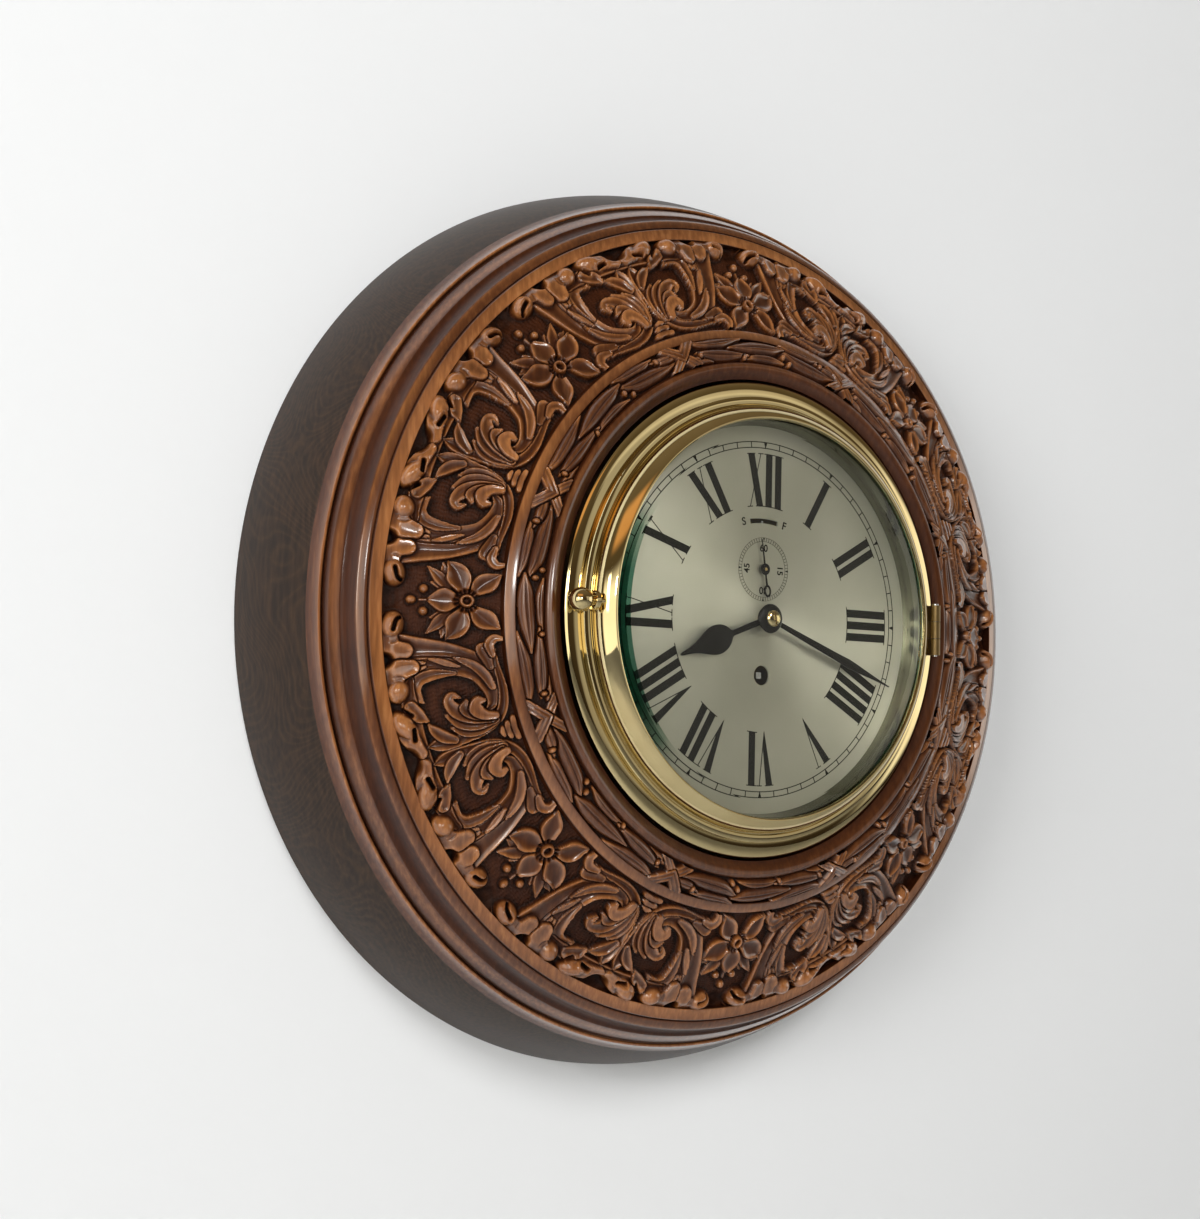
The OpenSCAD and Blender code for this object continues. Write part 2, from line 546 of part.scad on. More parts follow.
module dial_feet() color(brass) face() for (x = [-1, 1], y = [-1, 1]) at(x * foot_x, y * foot_y, 0) {
  rod(2.5, plate_front_z, dial_z - dial_t);
  rod(1.5, front_plate_z - 3, plate_front_z + 0.1);
}

/* Black wax in the engraving: numerals, minute track and seconds track */
numerals = ["I", "II", "III", "IIII", "V", "VI", "VII", "VIII", "IX", "X", "XI", "XII"];
line_w = 0.4;
numeral_inner_r = numeral_outer_d / 2 - numeral_h;
function advance(c) = c == "I" ? numeral_stroke + 2.1 : numeral_stroke + 7.6;
function width_to(word, n) = n <= 0 ? 0 : advance(word[n - 1]) + width_to(word, n - 1);
module stroke(x0, x1, w)
  polygon([[x0 - w / 2, 0], [x0 + w / 2, 0], [x1 + w / 2, numeral_h], [x1 - w / 2, numeral_h]]);
module letter(c) {
  half = advance(c) / 2 - 3.4;
  if (c == "I") stroke(0, 0, numeral_stroke);
  if (c == "X") { stroke(half, -half, numeral_stroke); stroke(-half, half, line_w); }
  if (c == "V") { stroke(0.6, -half, numeral_stroke); stroke(0.6, half + 1, line_w); }
}
module numeral(word) {
  full = width_to(word, len(word));
  for (n = [0 : len(word) - 1])
    translate([width_to(word, n) + advance(word[n]) / 2 - full / 2, 0]) letter(word[n]);
  for (y = [0, numeral_h - line_w]) translate([-full / 2, y]) square([full, line_w]);
}
module dial_markings() color(blacked) face() slab(dial_z, dial_z + wax_t) {
  for (h = [1 : 12]) rotate(-h * 30) translate([0, numeral_inner_r]) numeral(numerals[h - 1]);
  track(minute_track_d / 2, minute_track_w, 12);
  translate([0, seconds_up]) track(seconds_track_d / 2, minute_track_w / 2, 4);
}
// A track of sixty rungs, with a wedge at each chief mark
module track(r, w, chiefs) {
  difference() { circle(r, $fn = 180); circle(r - line_w, $fn = 180); }
  difference() { circle(r - w + line_w, $fn = 180); circle(r - w, $fn = 180); }
  for (i = [0 : 59]) rotate(i * 6) translate([-line_w / 2, r - w + line_w / 2]) square([line_w, w - line_w]);
  for (i = [0 : chiefs - 1]) rotate(i * 360 / chiefs)
    polygon([[-w / 4, r - line_w / 3], [w / 4, r - line_w / 3], [0, r - w + line_w / 3]]);
}

/* Hands, at the time shown */
minute_turn = shown_minute * 6;
hour_turn = shown_hour * 30 + shown_minute / 2;
seconds_turn = shown_second * 6;
hour_pipe_r = 2.8;
cannon_r = 1.9;
centre_front_r = 1.2;
hour_hand_z = dial_z + 3.5;
minute_hand_z = hour_hand_z + 2;
seconds_hand_z = dial_z + 1.4;
pear_at = hour_hand_len * 0.6;
module hour_hand() color(blacked) face() rotate([0, 0, -hour_turn])
  slab(hour_hand_z, hour_hand_z + hand_t) difference() {
    union() {
      circle(6.6, $fn = 64);
      polygon([[-2, 0], [2, 0], [1.5, pear_at * 0.8], [-1.5, pear_at * 0.8]]);
      polygon([for (i = [0 : 47]) let (a = i * 7.5, grow = 1 + 0.35 * max(0, sin(a)))
        [hour_hand_w / 2 * cos(a), pear_at + hour_hand_w * 0.7 * sin(a) * grow]]);
      polygon([[-3, pear_at + 8], [3, pear_at + 8], [0.2, hour_hand_len], [-0.2, hour_hand_len]]);
    }
    circle(hour_pipe_r + 0.03, $fn = 64);
  }
module minute_hand() color(blacked) face() rotate([0, 0, -minute_turn])
  slab(minute_hand_z, minute_hand_z + hand_t) difference() {
    union() {
      circle(5, $fn = 64);
      polygon([[-1.3, 0], [1.3, 0], [2.4, minute_hand_len * 0.65], [0.3, minute_hand_len],
        [-0.3, minute_hand_len], [-2.4, minute_hand_len * 0.65]]);
    }
    circle(cannon_r, $fn = 64);
  }
boss_r = 7.75;
boss_rise = 2.6;
boss_z = minute_hand_z + hand_t;
cannon_top_z = boss_z + 1.6;
module minute_boss() color(blacked) face() rotate_extrude($fn = 96) polygon(concat(
  [[cannon_r + 0.1, boss_z], [boss_r, boss_z]],
  [for (i = [1 : 8]) let (a = i * 9) [boss_r * cos(a), boss_z + boss_rise * sin(a)]],
  [[cannon_r + 0.1, boss_z + boss_rise]]));
module hand_screw() color(brass) face() difference() {
  union() {
    intersection() {
      rod(4.4, boss_z + boss_rise + 0.05, boss_z + boss_rise + 3);
      at(0, 0, boss_z + boss_rise - 4.2) sphere(r = 6, $fn = 64);
    }
    rod(0.75, cannon_top_z - 3, boss_z + boss_rise + 0.2, 24);
  }
  rotate([0, 0, 65]) at(-5, -0.4, boss_z + boss_rise + 1.1) cube([10, 0.8, 3]);
}
module seconds_hand() color(blacked) face() at(0, seconds_up, 0) rotate([0, 0, -seconds_turn])
  slab(seconds_hand_z, seconds_hand_z + 0.4) difference() {
    union() {
      circle(2.3, $fn = 48);
      polygon([[-0.5, -8], [0.5, -8], [0.35, 15.5], [-0.35, 15.5]]);
      translate([0, -10]) circle(2.6, $fn = 48);
    }
    circle(0.9, $fn = 32);
    translate([0, -10]) circle(1.7, $fn = 48);
  }

/* Movement frame */
screw_len = plate_t + 6;
module pillar_places() for (x = [-1, 1], y = [-1, 1]) at(x * pillar_x, y * pillar_y, 0) children();
module platform_places() for (x = [-23, 12], y = [31.5, 49.5]) at(x, y, 0) children();
winding_r = 2.5;
click_angle = 58;
click_at = barrel_at + 12.5 * [cos(click_angle), sin(click_angle)];
spring_post_at = click_at + [9, 6];
staff_pivot_r = 0.3;
module front_plate() color(brass) face() {
  difference() {
    rounded_plate(front_plate_z, plate_front_z);
    slab(0, lip_z) pivot_holes([[0, 0], third_at, seconds_at, lever_at]);
    at(barrel_at[0], barrel_at[1], 0) rod(winding_r + pivot_play, 0, lip_z);
    at(escape_at[0], escape_at[1], 0) rod(2.4, 0, lip_z);
    at(balance_at[0], balance_at[1], 0) rod(staff_pivot_r + pivot_play, 0, lip_z, 32);
    pillar_places() rod(1.6, 0, lip_z, 32);
    for (x = [-1, 1], y = [-1, 1]) at(x * foot_x, y * foot_y, 0) rod(1.6, 0, lip_z, 32);
  }
  at(minute_wheel_at[0], minute_wheel_at[1], 0) rod(1.2, plate_front_z - 0.1, plate_front_z + 10);
  at(click_at[0], click_at[1], 0) rod(1.5, plate_front_z - 0.1, plate_front_z + 2.6);
  at(spring_post_at[0], spring_post_at[1], 0) rod(1, plate_front_z - 0.1, plate_front_z + 2.6);
}
module back_plate() color(brass) face() difference() {
  rounded_plate(back_plate_z, back_plate_z + plate_t);
  slab(0, lip_z) pivot_holes([[0, 0], third_at, seconds_at, escape_at]);
  at(barrel_at[0], barrel_at[1], 0) rod(winding_r + pivot_play, 0, lip_z);
  pillar_places() rod(1.6, 0, lip_z, 32);
}
module plate_pillars() color(brass) face() pillar_places() difference() {
  rod(4, inside_z, front_plate_z);
  rod(1.6, inside_z - 1, inside_z + 8, 32);
  rod(1.6, front_plate_z - 8, front_plate_z + 1, 32);
}
module machine_screw(r, head_r, length) difference() {
  union() { rod(r, -length, 0.1, 32); rod(head_r, 0, 1.8, 48); }
  at(-head_r, -0.35, 1.1) cube([2 * head_r, 0.7, 2]);
}
module plate_screws() color(steel) face() pillar_places() {
  at(0, 0, plate_front_z) machine_screw(1.5, 3, screw_len);
  at(0, 0, back_plate_z) mirror([0, 0, 1]) machine_screw(1.5, 3, screw_len);
}

/* Winding and power */
great_z = inside_z + 3;
barrel_r = barrel_d / 2;
barrel_h = 21;
barrel_top_z = great_z + barrel_h;
barrel_wall = 1.5;
cap_play = 0.02;
module great_wheel_barrel() color(brass) face() at(0, -barrel_down, 0) {
  slab(great_z, great_z + 2.2) difference() {
    polygon(gear_points(great_teeth, great_size, gap_turn(great_teeth, 90)));
    circle(winding_r + pivot_play, $fn = 48);
  }
  ring(barrel_r - barrel_wall, barrel_r, great_z + 2.1, barrel_top_z);
}
module barrel_cap() color(brass) face() at(0, -barrel_down, 0)
  ring(winding_r + pivot_play, barrel_r - barrel_wall - cap_play, barrel_top_z - 1.4, barrel_top_z);
module winding_arbor() color(steel) face() at(0, -barrel_down, 0) {
  rod(winding_r, back_plate_z + 0.4, plate_front_z + 0.6);
  rod(5, great_z + 2.6, barrel_top_z - 1.8);
  slab(plate_front_z + 0.5, dial_z - 2.5) square(3.4, center = true);
}
module spiral(r_in, r_out, turns, thick, steps) polygon(concat(
  [for (i = [0 : steps]) let (a = turns * 360 * i / steps, r = r_in + (r_out - r_in) * i / steps)
    r * [cos(a), sin(a)]],
  [for (i = [steps : -1 : 0]) let (a = turns * 360 * i / steps, r = r_in + (r_out - r_in) * i / steps + thick)
    r * [cos(a), sin(a)]]));
module mainspring() color(steel) face() at(0, -barrel_down, 0)
  slab(great_z + 2.8, barrel_top_z - 2) spiral(5.2, barrel_r - 2.4, 8, 0.6, 128);
ratchet_z = plate_front_z + 0.8;
ratchet_teeth = 24;
ratchet_r = 8.2;
tooth_angle = click_angle + 52;
module ratchet_wheel() color(steel) face() at(0, -barrel_down, 0) slab(ratchet_z, ratchet_z + 1.8) difference() {
  polygon([for (i = [0 : ratchet_teeth - 1]) let (a = tooth_angle + i * 360 / ratchet_teeth)
    for (p = [[ratchet_r - 1.2, a], [ratchet_r, a + 1]]) p[0] * [cos(p[1]), sin(p[1])]]);
  square(3.44, center = true);
}
function about_barrel(r, angle) = barrel_at + r * [cos(angle), sin(angle)];
module click() color(steel) face() slab(ratchet_z, ratchet_z + 1.6) difference() {
  union() {
    translate(click_at) circle(2.6, $fn = 48);
    polygon([about_barrel(ratchet_r - 0.7, tooth_angle - 1.5), about_barrel(ratchet_r + 0.6, tooth_angle - 14),
      click_at + [-1.2, -2.2], click_at + [-1.2, 2.2], about_barrel(ratchet_r + 1.2, tooth_angle - 3)]);
  }
  translate(click_at) circle(1.5 + pivot_play, $fn = 48);
}
module click_spring() color(steel) face() slab(ratchet_z, ratchet_z + 1.4) {
  translate(spring_post_at) difference() { circle(1.6, $fn = 32); circle(1.02, $fn = 32); }
  translate(spring_post_at + [-9.6, 1.1]) square([9.6, 0.4]);
  translate(click_at + [-0.6, 2.9]) square([0.4, 4.3]);
}

/* Going train, each wheel with its own pinion and arbor */
centre_wheel_z = front_plate_z - 8;
third_wheel_z = inside_z + 11;
fourth_wheel_z = inside_z + 22;
third_angle = atan2(third_at[1], third_at[0]);
fourth_angle = atan2(seconds_at[1] - third_at[1], seconds_at[0] - third_at[0]);
// Turn of a wheel so that a gap faces along an angle, and of a pinion so that a tooth faces back along it
function gap_turn(teeth, angle) = angle + 180 / teeth;
function tooth_turn(angle) = angle + 180;
module centre_arbor() color(steel) face() {
  plate_arbor(arbor_r);
  gear(centre_pinion_teeth, great_size, great_z - 1, great_z + 4, tooth_turn(90));
  rod(pivot_r, front_plate_z, plate_front_z + 0.4);
  rod(centre_front_r, plate_front_z + 0.3, cannon_top_z - 3.2);
}
module centre_wheel() color(brass) face()
  crossed_gear(centre_teeth, centre_size, centre_wheel_z, centre_wheel_z + wheel_t,
    gap_turn(centre_teeth, third_angle), 5, 5, arbor_r);
module third_wheel() color(brass) face() at(third_at[0], third_at[1], 0) {
  plate_arbor(arbor_r - 0.4);
  gear(third_pinion_teeth, centre_size, centre_wheel_z - 1.5, centre_wheel_z + 3, tooth_turn(third_angle));
  crossed_gear(third_teeth, third_size, third_wheel_z, third_wheel_z + wheel_t,
    gap_turn(third_teeth, fourth_angle), 4, 5, 0.5);
}
module fourth_wheel() color(brass) face() at(seconds_at[0], seconds_at[1], 0) {
  plate_arbor(arbor_r - 0.6);
  rod(0.88, plate_front_z - 0.5, seconds_hand_z + 1);
  gear(fourth_pinion_teeth, third_size, third_wheel_z - 1.5, third_wheel_z + 3, tooth_turn(fourth_angle));
  crossed_gear(fourth_teeth, fourth_size, fourth_wheel_z, fourth_wheel_z + wheel_t,
    gap_turn(fourth_teeth, escape_angle), 4, 5, 0.5);
}

/* Motion work: cannon pinion, minute wheel and hour wheel */
cannon_z = plate_front_z + 3;
module cannon_pinion() color(steel) face() difference() {
  union() {
    gear(cannon_teeth, motion_size, cannon_z, cannon_z + 3, tooth_turn(90));
    rod(cannon_r, cannon_z, cannon_top_z);
  }
  rod(centre_front_r + pivot_play, cannon_z - 1, cannon_top_z - 3, 64);
  rod(0.8, cannon_top_z - 3.1, cannon_top_z + 1, 32);
}
module minute_wheel() color(brass) face() at(minute_wheel_at[0], minute_wheel_at[1], 0) difference() {
  union() {
    gear(minute_wheel_teeth, motion_size, cannon_z + 0.8, cannon_z + 2.2, gap_turn(minute_wheel_teeth, 90));
    gear(minute_pinion_teeth, hour_size, cannon_z + 2.1, cannon_z + 6.2, tooth_turn(-90));
  }
  rod(1.2 + pivot_play, 0, lip_z);
}
module hour_wheel() color(brass) face() difference() {
  union() {
    gear(hour_teeth, hour_size, cannon_z + 4, cannon_z + 5.6, gap_turn(hour_teeth, -90));
    rod(hour_pipe_r, cannon_z + 4, hour_hand_z + hand_t + 0.2);
  }
  rod(cannon_r + pivot_play, 0, lip_z, 64);
}

/* Lever platform: escape wheel, lever, balance and the slow and fast index */
platform_t = 1.5;
escape_z = plate_front_z + 3;
lever_arm = norm(balance_at - escape_at);
lever_angle = atan2(balance_at[1] - escape_at[1], balance_at[0] - escape_at[0]);
escape_teeth = 15;
escape_r = 5.5;
cock_z = platform_z + 10;
cock_foot_at = balance_at + [8.5, 8];
spring_stud_r = 5.8;
module platform_plate() color(brass) face() difference() {
  slab(platform_z, platform_z + platform_t) translate([-25.5, 29]) square([40, 23]);
  slab(0, lip_z) pivot_holes([escape_at, lever_at]);
  at(balance_at[0], balance_at[1], 0) rod(1.6, 0, lip_z, 32);
  platform_places() rod(1.1, 0, lip_z, 32);
}
module platform_pillars() color(brass) face() platform_places() {
  rod(1.6, plate_front_z, platform_z);
  rod(1.05, platform_z - 0.1, platform_z + platform_t + 0.05, 32);
  at(0, 0, platform_z + platform_t) rod(1.8, 0, 1, 32);
}
module escape_wheel() color(steel) face() at(escape_at[0], escape_at[1], 0) {
  rod(1, inside_z + 0.3, escape_z + 2.5);
  rod(pivot_r, back_plate_z + 0.4, inside_z + 0.4);
  rod(pivot_r, escape_z + 2.4, platform_z + platform_t - 0.3);
  gear(escape_pinion_teeth, fourth_size, fourth_wheel_z - 1.5, fourth_wheel_z + 3, tooth_turn(escape_angle));
  slab(escape_z, escape_z + 0.8) polygon([for (i = [0 : escape_teeth - 1]) let (a = i * 360 / escape_teeth)
    for (p = [[escape_r - 1.6, a], [escape_r, a + 5], [escape_r - 1.4, a + 8]]) p[0] * [cos(p[1]), sin(p[1])]]);
}
module pallet_lever() color(steel) face() at(lever_at[0], lever_at[1], 0) rotate([0, 0, lever_angle]) {
  rod(pivot_r, front_plate_z + 0.4, platform_z + platform_t - 0.3);
  slab(escape_z, escape_z + 0.8) {
    square([1.8, 10.4], center = true);
    for (side = [-1, 1]) translate([-1.4, side * 4.6]) square([2.8, 1.1], center = true);
    translate([0, -0.5]) square([lever_arm * 0.53 - 2.6, 1]);
    for (side = [-1, 1]) translate([lever_arm * 0.53 - 2.9, side * 0.75 - 0.3]) square([0.9, 0.6]);
  }
}
module balance_wheel() color(brass) face() at(balance_at[0], balance_at[1], 0) {
  ring(balance_r - 1, balance_r, platform_z + 3.2, platform_z + 4.6);
  slab(platform_z + 3.4, platform_z + 4.2) square([2 * balance_r - 1.2, 1.4], center = true);
  rod(0.8, plate_front_z + 0.3, cock_z - 1.8);
  rod(staff_pivot_r, front_plate_z + 0.5, plate_front_z + 0.4, 32);
  rod(staff_pivot_r, cock_z - 1.9, cock_z + 1.2, 32);
  rod(1.5, platform_z + 5.8, platform_z + 6.6, 32);
  rod(2.6, plate_front_z + 1.3, plate_front_z + 2.1);
  at(2.1, 0, 0) rod(0.25, plate_front_z + 2, plate_front_z + 2.7, 24);
}
cock_angle = atan2(cock_foot_at[1] - balance_at[1], cock_foot_at[0] - balance_at[0]);
module balance_cock() color(brass) face() difference() {
  union() {
    at(cock_foot_at[0], cock_foot_at[1], 0) rod(2.2, platform_z + platform_t, cock_z + 1.6);
    at(balance_at[0], balance_at[1], 0) {
      slab(cock_z, cock_z + 1.6) rotate(cock_angle) translate([0, -2]) square([norm(cock_foot_at - balance_at), 4]);
      rod(3, cock_z, cock_z + 1.6);
      rod(1.15, cock_z - 1.6, cock_z + 0.1);
      rotate([0, 0, cock_angle]) at(spring_stud_r + 0.2, 0, 0) rod(0.5, platform_z + 6, cock_z + 0.1, 24);
    }
  }
  at(balance_at[0], balance_at[1], 0) rod(staff_pivot_r + pivot_play, 0, lip_z, 32);
}
module hairspring() color(steel) face() at(balance_at[0], balance_at[1], 0) rotate([0, 0, cock_angle])
  slab(platform_z + 6, platform_z + 6.5) spiral(1.52, spring_stud_r - 0.5, 5, 0.16, 80);
module slow_fast_index() color(steel) face() at(balance_at[0], balance_at[1], 0) {
  slab(cock_z - 1.4, cock_z - 0.6) difference() {
    union() { circle(2.4, $fn = 48); translate([-0.7, 1.5]) square([1.4, slot_up - balance_at[1] - 1.5]); }
    circle(1.15 + pivot_play, $fn = 48);
  }
  slab(cock_z - 0.7, dial_z - dial_t - 0.4) translate([-0.7, slot_up - balance_at[1] - 1.2]) square([1.4, 1.2]);
}

case_drum();
carved_surround();
back_board();
hanger_plate();
hanger_screws();
board_screws();
brass_bowl();
bowl_screws();
hinge_fixed_leaf();
hinge_pin();
catch_spring();
dial_plate();
dial_markings();
dial_screws();
dial_feet();
front_plate();
back_plate();
plate_pillars();
plate_screws();
platform_plate();
platform_pillars();
balance_cock();
slow_fast_index();
bezel_ring();
bevelled_glass();
glass_retaining_ring();
reflector_ring();
hinge_moving_leaf();
door_knob();
knob_collar();
centre_arbor();
centre_wheel();
cannon_pinion();
minute_hand();
minute_boss();
hand_screw();
minute_wheel();
hour_wheel();
hour_hand();
third_wheel();
fourth_wheel();
seconds_hand();
escape_wheel();
pallet_lever();
balance_wheel();
hairspring();
great_wheel_barrel();
barrel_cap();
mainspring();
winding_arbor();
ratchet_wheel();
click();
click_spring();
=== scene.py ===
import math
import bpy
import numpy as np
from mathutils import Matrix, Vector


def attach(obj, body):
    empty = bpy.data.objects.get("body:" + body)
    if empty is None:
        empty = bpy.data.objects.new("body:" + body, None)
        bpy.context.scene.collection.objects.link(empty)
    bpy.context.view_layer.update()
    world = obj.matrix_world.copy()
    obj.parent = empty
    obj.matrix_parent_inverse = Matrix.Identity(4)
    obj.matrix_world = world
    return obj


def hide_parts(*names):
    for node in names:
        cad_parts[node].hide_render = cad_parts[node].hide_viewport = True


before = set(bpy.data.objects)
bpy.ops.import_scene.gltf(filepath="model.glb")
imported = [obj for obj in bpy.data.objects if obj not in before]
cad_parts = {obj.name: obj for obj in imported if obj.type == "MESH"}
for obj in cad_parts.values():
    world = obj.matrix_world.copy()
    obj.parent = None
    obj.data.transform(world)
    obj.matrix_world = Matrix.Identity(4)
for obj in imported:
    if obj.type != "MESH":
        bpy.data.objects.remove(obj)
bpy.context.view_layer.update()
mm = 0.001
print("solids loaded")


# Colours and nodes
def linear(hexColour):
    parts = [int(hexColour[i:i + 2], 16) / 255 for i in (1, 3, 5)]
    return tuple(p / 12.92 if p <= 0.04045 else ((p + 0.055) / 1.055) ** 2.4 for p in parts) + (1,)


# Each input is given a value, or linked from an output: a node stands for its first output
def connect(node, inputs):
    for key, value in inputs.items():
        if isinstance(value, bpy.types.Node):
            value = next(output for output in value.outputs if output.enabled)
        if isinstance(value, bpy.types.NodeSocket):
            node.id_data.links.new(value, node.inputs[key])
        else:
            node.inputs[key].default_value = value


def addNode(tree, kind, inputs=None, stops=(), **settings):
    made = tree.nodes.new("ShaderNode" + kind)
    for key, value in settings.items():
        setattr(made, key, value)
    connect(made, inputs or {})
    if stops:
        bands = made.color_ramp.elements
        bands[0].position, bands[-1].position = stops[0][0], stops[-1][0]
        for position, colour in stops[1:-1]:
            bands.new(position)
        for band, (position, colour) in zip(bands, stops):
            band.color = linear(colour) if isinstance(colour, str) else (colour, colour, colour, 1)
    return made


def newMaterial(name, **shader):
    material = bpy.data.materials.new(name)
    material.use_nodes = True
    tree = material.node_tree
    surface = tree.nodes["Principled BSDF"]
    connect(surface, {key.replace("_", " "): value for key, value in shader.items()})
    place = addNode(tree, "TexCoord").outputs["Object"]
    return material, tree, surface, place


# Makes the surface see-through by its share
def letThrough(tree, surface, share, hexColour):
    clear = addNode(tree, "BsdfTransparent", {"Color": linear(hexColour)})
    blend = addNode(tree, "MixShader", {0: share, 1: surface, 2: clear})
    connect(tree.nodes["Material Output"], {"Surface": blend})


# Stained and waxed oak of the carved front: orange brown, dark in the cuts from stain and painted shade, worn pale on
# the high parts
def carvedOak():
    material, tree, surface, place = newMaterial("carvedOak", Specular_IOR_Level=0.3, Coat_Roughness=0.11,
                                                 Coat_IOR=1.62)
    stretch = addNode(tree, "Mapping", {"Vector": place, "Scale": (320, 320, 34)})
    streak = addNode(tree, "TexNoise", {"Vector": stretch, "Scale": 1.6, "Detail": 5})
    patch = addNode(tree, "TexNoise", {"Vector": place, "Scale": 22, "Detail": 4})
    grain = addNode(tree, "ValToRGB", {"Fac": streak}, [(0.3, "#6a4120"), (0.5, "#925c33"), (0.72, "#bd8450")])
    tone = addNode(tree, "ValToRGB", {"Fac": patch}, [(0.35, "#774520"), (0.65, "#a56a38")])
    both = addNode(tree, "Mix", {"Factor": 0.5, "A": grain, "B": tone}, data_type="RGBA")
    depth = addNode(tree, "Attribute", attribute_name="cutDepth").outputs["Fac"]
    # darker in the cuts, as dark wax and as painted shade; pale where the high parts are rubbed
    dirtAndShade = addNode(tree, "ValToRGB", {"Fac": depth},
                   [(0.0, "#382b23"), (0.2, "#57453a"), (0.42, "#6a5547"), (0.62, "#9c8b7e"),
                    (0.95, "#fbf6f2")])
    shade = addNode(tree, "Mix", {"Factor": 1.0, "A": both, "B": dirtAndShade}, data_type="RGBA", blend_type="MULTIPLY")
    # rubbed and glossy on the high parts, matt in the cuts
    dull = addNode(tree, "MapRange", {"Value": depth, "From Min": 0.25, "From Max": 0.62,
                   "To Min": 0.62, "To Max": 0.3})
    waxed = addNode(tree, "MapRange", {"Value": depth, "From Min": 0.36, "From Max": 0.7})
    # the sunk ground is matted with a punch, about a millimetre across, drawn a little coarse so that it shows
    punch = addNode(tree, "TexVoronoi", {"Vector": place, "Scale": 620})
    dents = addNode(tree, "MapRange", {"Value": punch, "To Max": 4.0})
    sunk = addNode(tree, "MapRange", {"Value": depth, "From Min": 0.34, "From Max": 0.24})
    height = addNode(tree, "Mix", {"Factor": sunk, "A": streak, "B": dents}, data_type="FLOAT")
    bump = addNode(tree, "Bump", {"Height": height, "Strength": 0.4, "Distance": 0.2 * mm})
    connect(surface, {"Base Color": shade, "Roughness": dull, "Coat Weight": waxed, "Normal": bump})
    return material


# Oak of the drum, stained nearly black and waxed: growth rings show as faint brown lines, with pale chips
def darkOak():
    material, tree, surface, place = newMaterial("darkOak", Roughness=0.48, Specular_IOR_Level=0.3,
                                                 Coat_Weight=0.08, Coat_Roughness=0.3)
    bend = addNode(tree, "TexNoise", {"Vector": place, "Scale": 5, "Detail": 2})
    pushed = addNode(tree, "VectorMath", {0: place, 1: bend.outputs["Color"]}, operation="ADD")
    spread = addNode(tree, "Mapping", {"Vector": pushed, "Scale": (1, 0.5, 0.35)})
    rings = addNode(tree, "TexWave", {"Vector": spread, "Scale": 48, "Distortion": 5,
                    "Detail": 3, "Detail Scale": 1.6}, bands_direction="X")
    fibre = addNode(tree, "Mapping", {"Vector": place, "Scale": (500, 300, 45)})
    pores = addNode(tree, "TexNoise", {"Vector": fibre, "Scale": 1.2, "Detail": 4})
    lines = addNode(tree, "ValToRGB", {"Fac": rings.outputs["Fac"]},
                    [(0.2, "#25190f"), (0.7, "#2e2013"), (1.0, "#3d2a18")])
    fine = addNode(tree, "ValToRGB", {"Fac": pores}, [(0.35, "#180f09"), (0.7, "#3a2719")])
    wood = addNode(tree, "Mix", {"Factor": 0.6, "A": lines, "B": fine}, data_type="RGBA")
    chips = addNode(tree, "TexVoronoi", {"Vector": place, "Scale": 17, "Randomness": 1.0})
    spot = addNode(tree, "ValToRGB", {"Fac": chips}, [(0, 1), (0.035, 0.7), (0.06, 0)])
    worn = addNode(tree, "Mix", {"Factor": spot, "A": wood, "B": linear("#6d6357")}, data_type="RGBA")
    bump = addNode(tree, "Bump", {"Height": pores, "Strength": 0.18, "Distance": 0.2 * mm})
    connect(surface, {"Base Color": worn, "Normal": bump})
    return material


# Two shades in faint clouds, with a fine bump: from the same noise, or from a wide one as the mop leaves on brass
def mottled(name, shades, roughness, metallic=0, noise=(400, 3), strength=0.15, wave=None, **shader):
    material, tree, surface, place = newMaterial(name, Roughness=roughness, Metallic=metallic, **shader)
    speck = addNode(tree, "TexNoise", {"Vector": place, "Scale": noise[0], "Detail": noise[1]})
    colour = addNode(tree, "ValToRGB", {"Fac": speck}, [(0.3, shades[0]), (0.7, shades[1])])
    height, distance = speck, 0.1 * mm
    if wave:
        height, distance = addNode(tree, "TexNoise", {"Vector": place, "Scale": wave[0], "Detail": wave[1]}), 1 * mm
    bump = addNode(tree, "Bump", {"Height": height, "Strength": strength, "Distance": distance})
    connect(surface, {"Base Color": colour, "Normal": bump})
    return material


def polishedBrass(name, shades, roughness, strength):
    return mottled(name, shades, roughness, 1, (30, 4), strength, (55, 1.5))


# Brass plate silvered with a wet rubbed finish, grained round its centre
def silveredBrass():
    material, tree, surface, place = newMaterial("silveredBrass", Metallic=0.92, Roughness=0.48, Anisotropic=0.72,
                                                 Anisotropic_Rotation=0.25)
    cloud = addNode(tree, "TexNoise", {"Vector": place, "Scale": 17, "Detail": 5})
    colour = addNode(tree, "ValToRGB", {"Fac": cloud}, [(0.3, "#b2b0a0"), (0.55, "#bcbaaa"), (0.75, "#c6c4b6")])
    grained = addNode(tree, "Tangent", direction_type="RADIAL", axis="Y")
    connect(surface, {"Base Color": colour, "Tangent": grained})
    return material


# Thick polished plate glass: clear, with a painted dark green reflection tinted into its left bevel. The IOR is
# below the usual 1.5, which keeps the room faint in it
def plateGlass():
    material, tree, surface = newMaterial("plateGlass", Roughness=0.0, IOR=1.28, Transmission_Weight=1.0)[:3]
    # the dark green at the left bevel is a painted reflection
    depth = addNode(tree, "Attribute", attribute_name="bevelGreenReflection").outputs["Fac"]
    tintAndGreenReflection = addNode(tree, "ValToRGB", {"Fac": depth}, [(0.0, "#fbfcf9"), (0.4, "#8aaa9b"), (1.0, "#1f5646")])
    connect(surface, {"Base Color": tintAndGreenReflection})
    lit = addNode(tree, "LightPath").outputs["Is Shadow Ray"]
    letThrough(tree, surface, lit, "#f6f8f4")
    return material


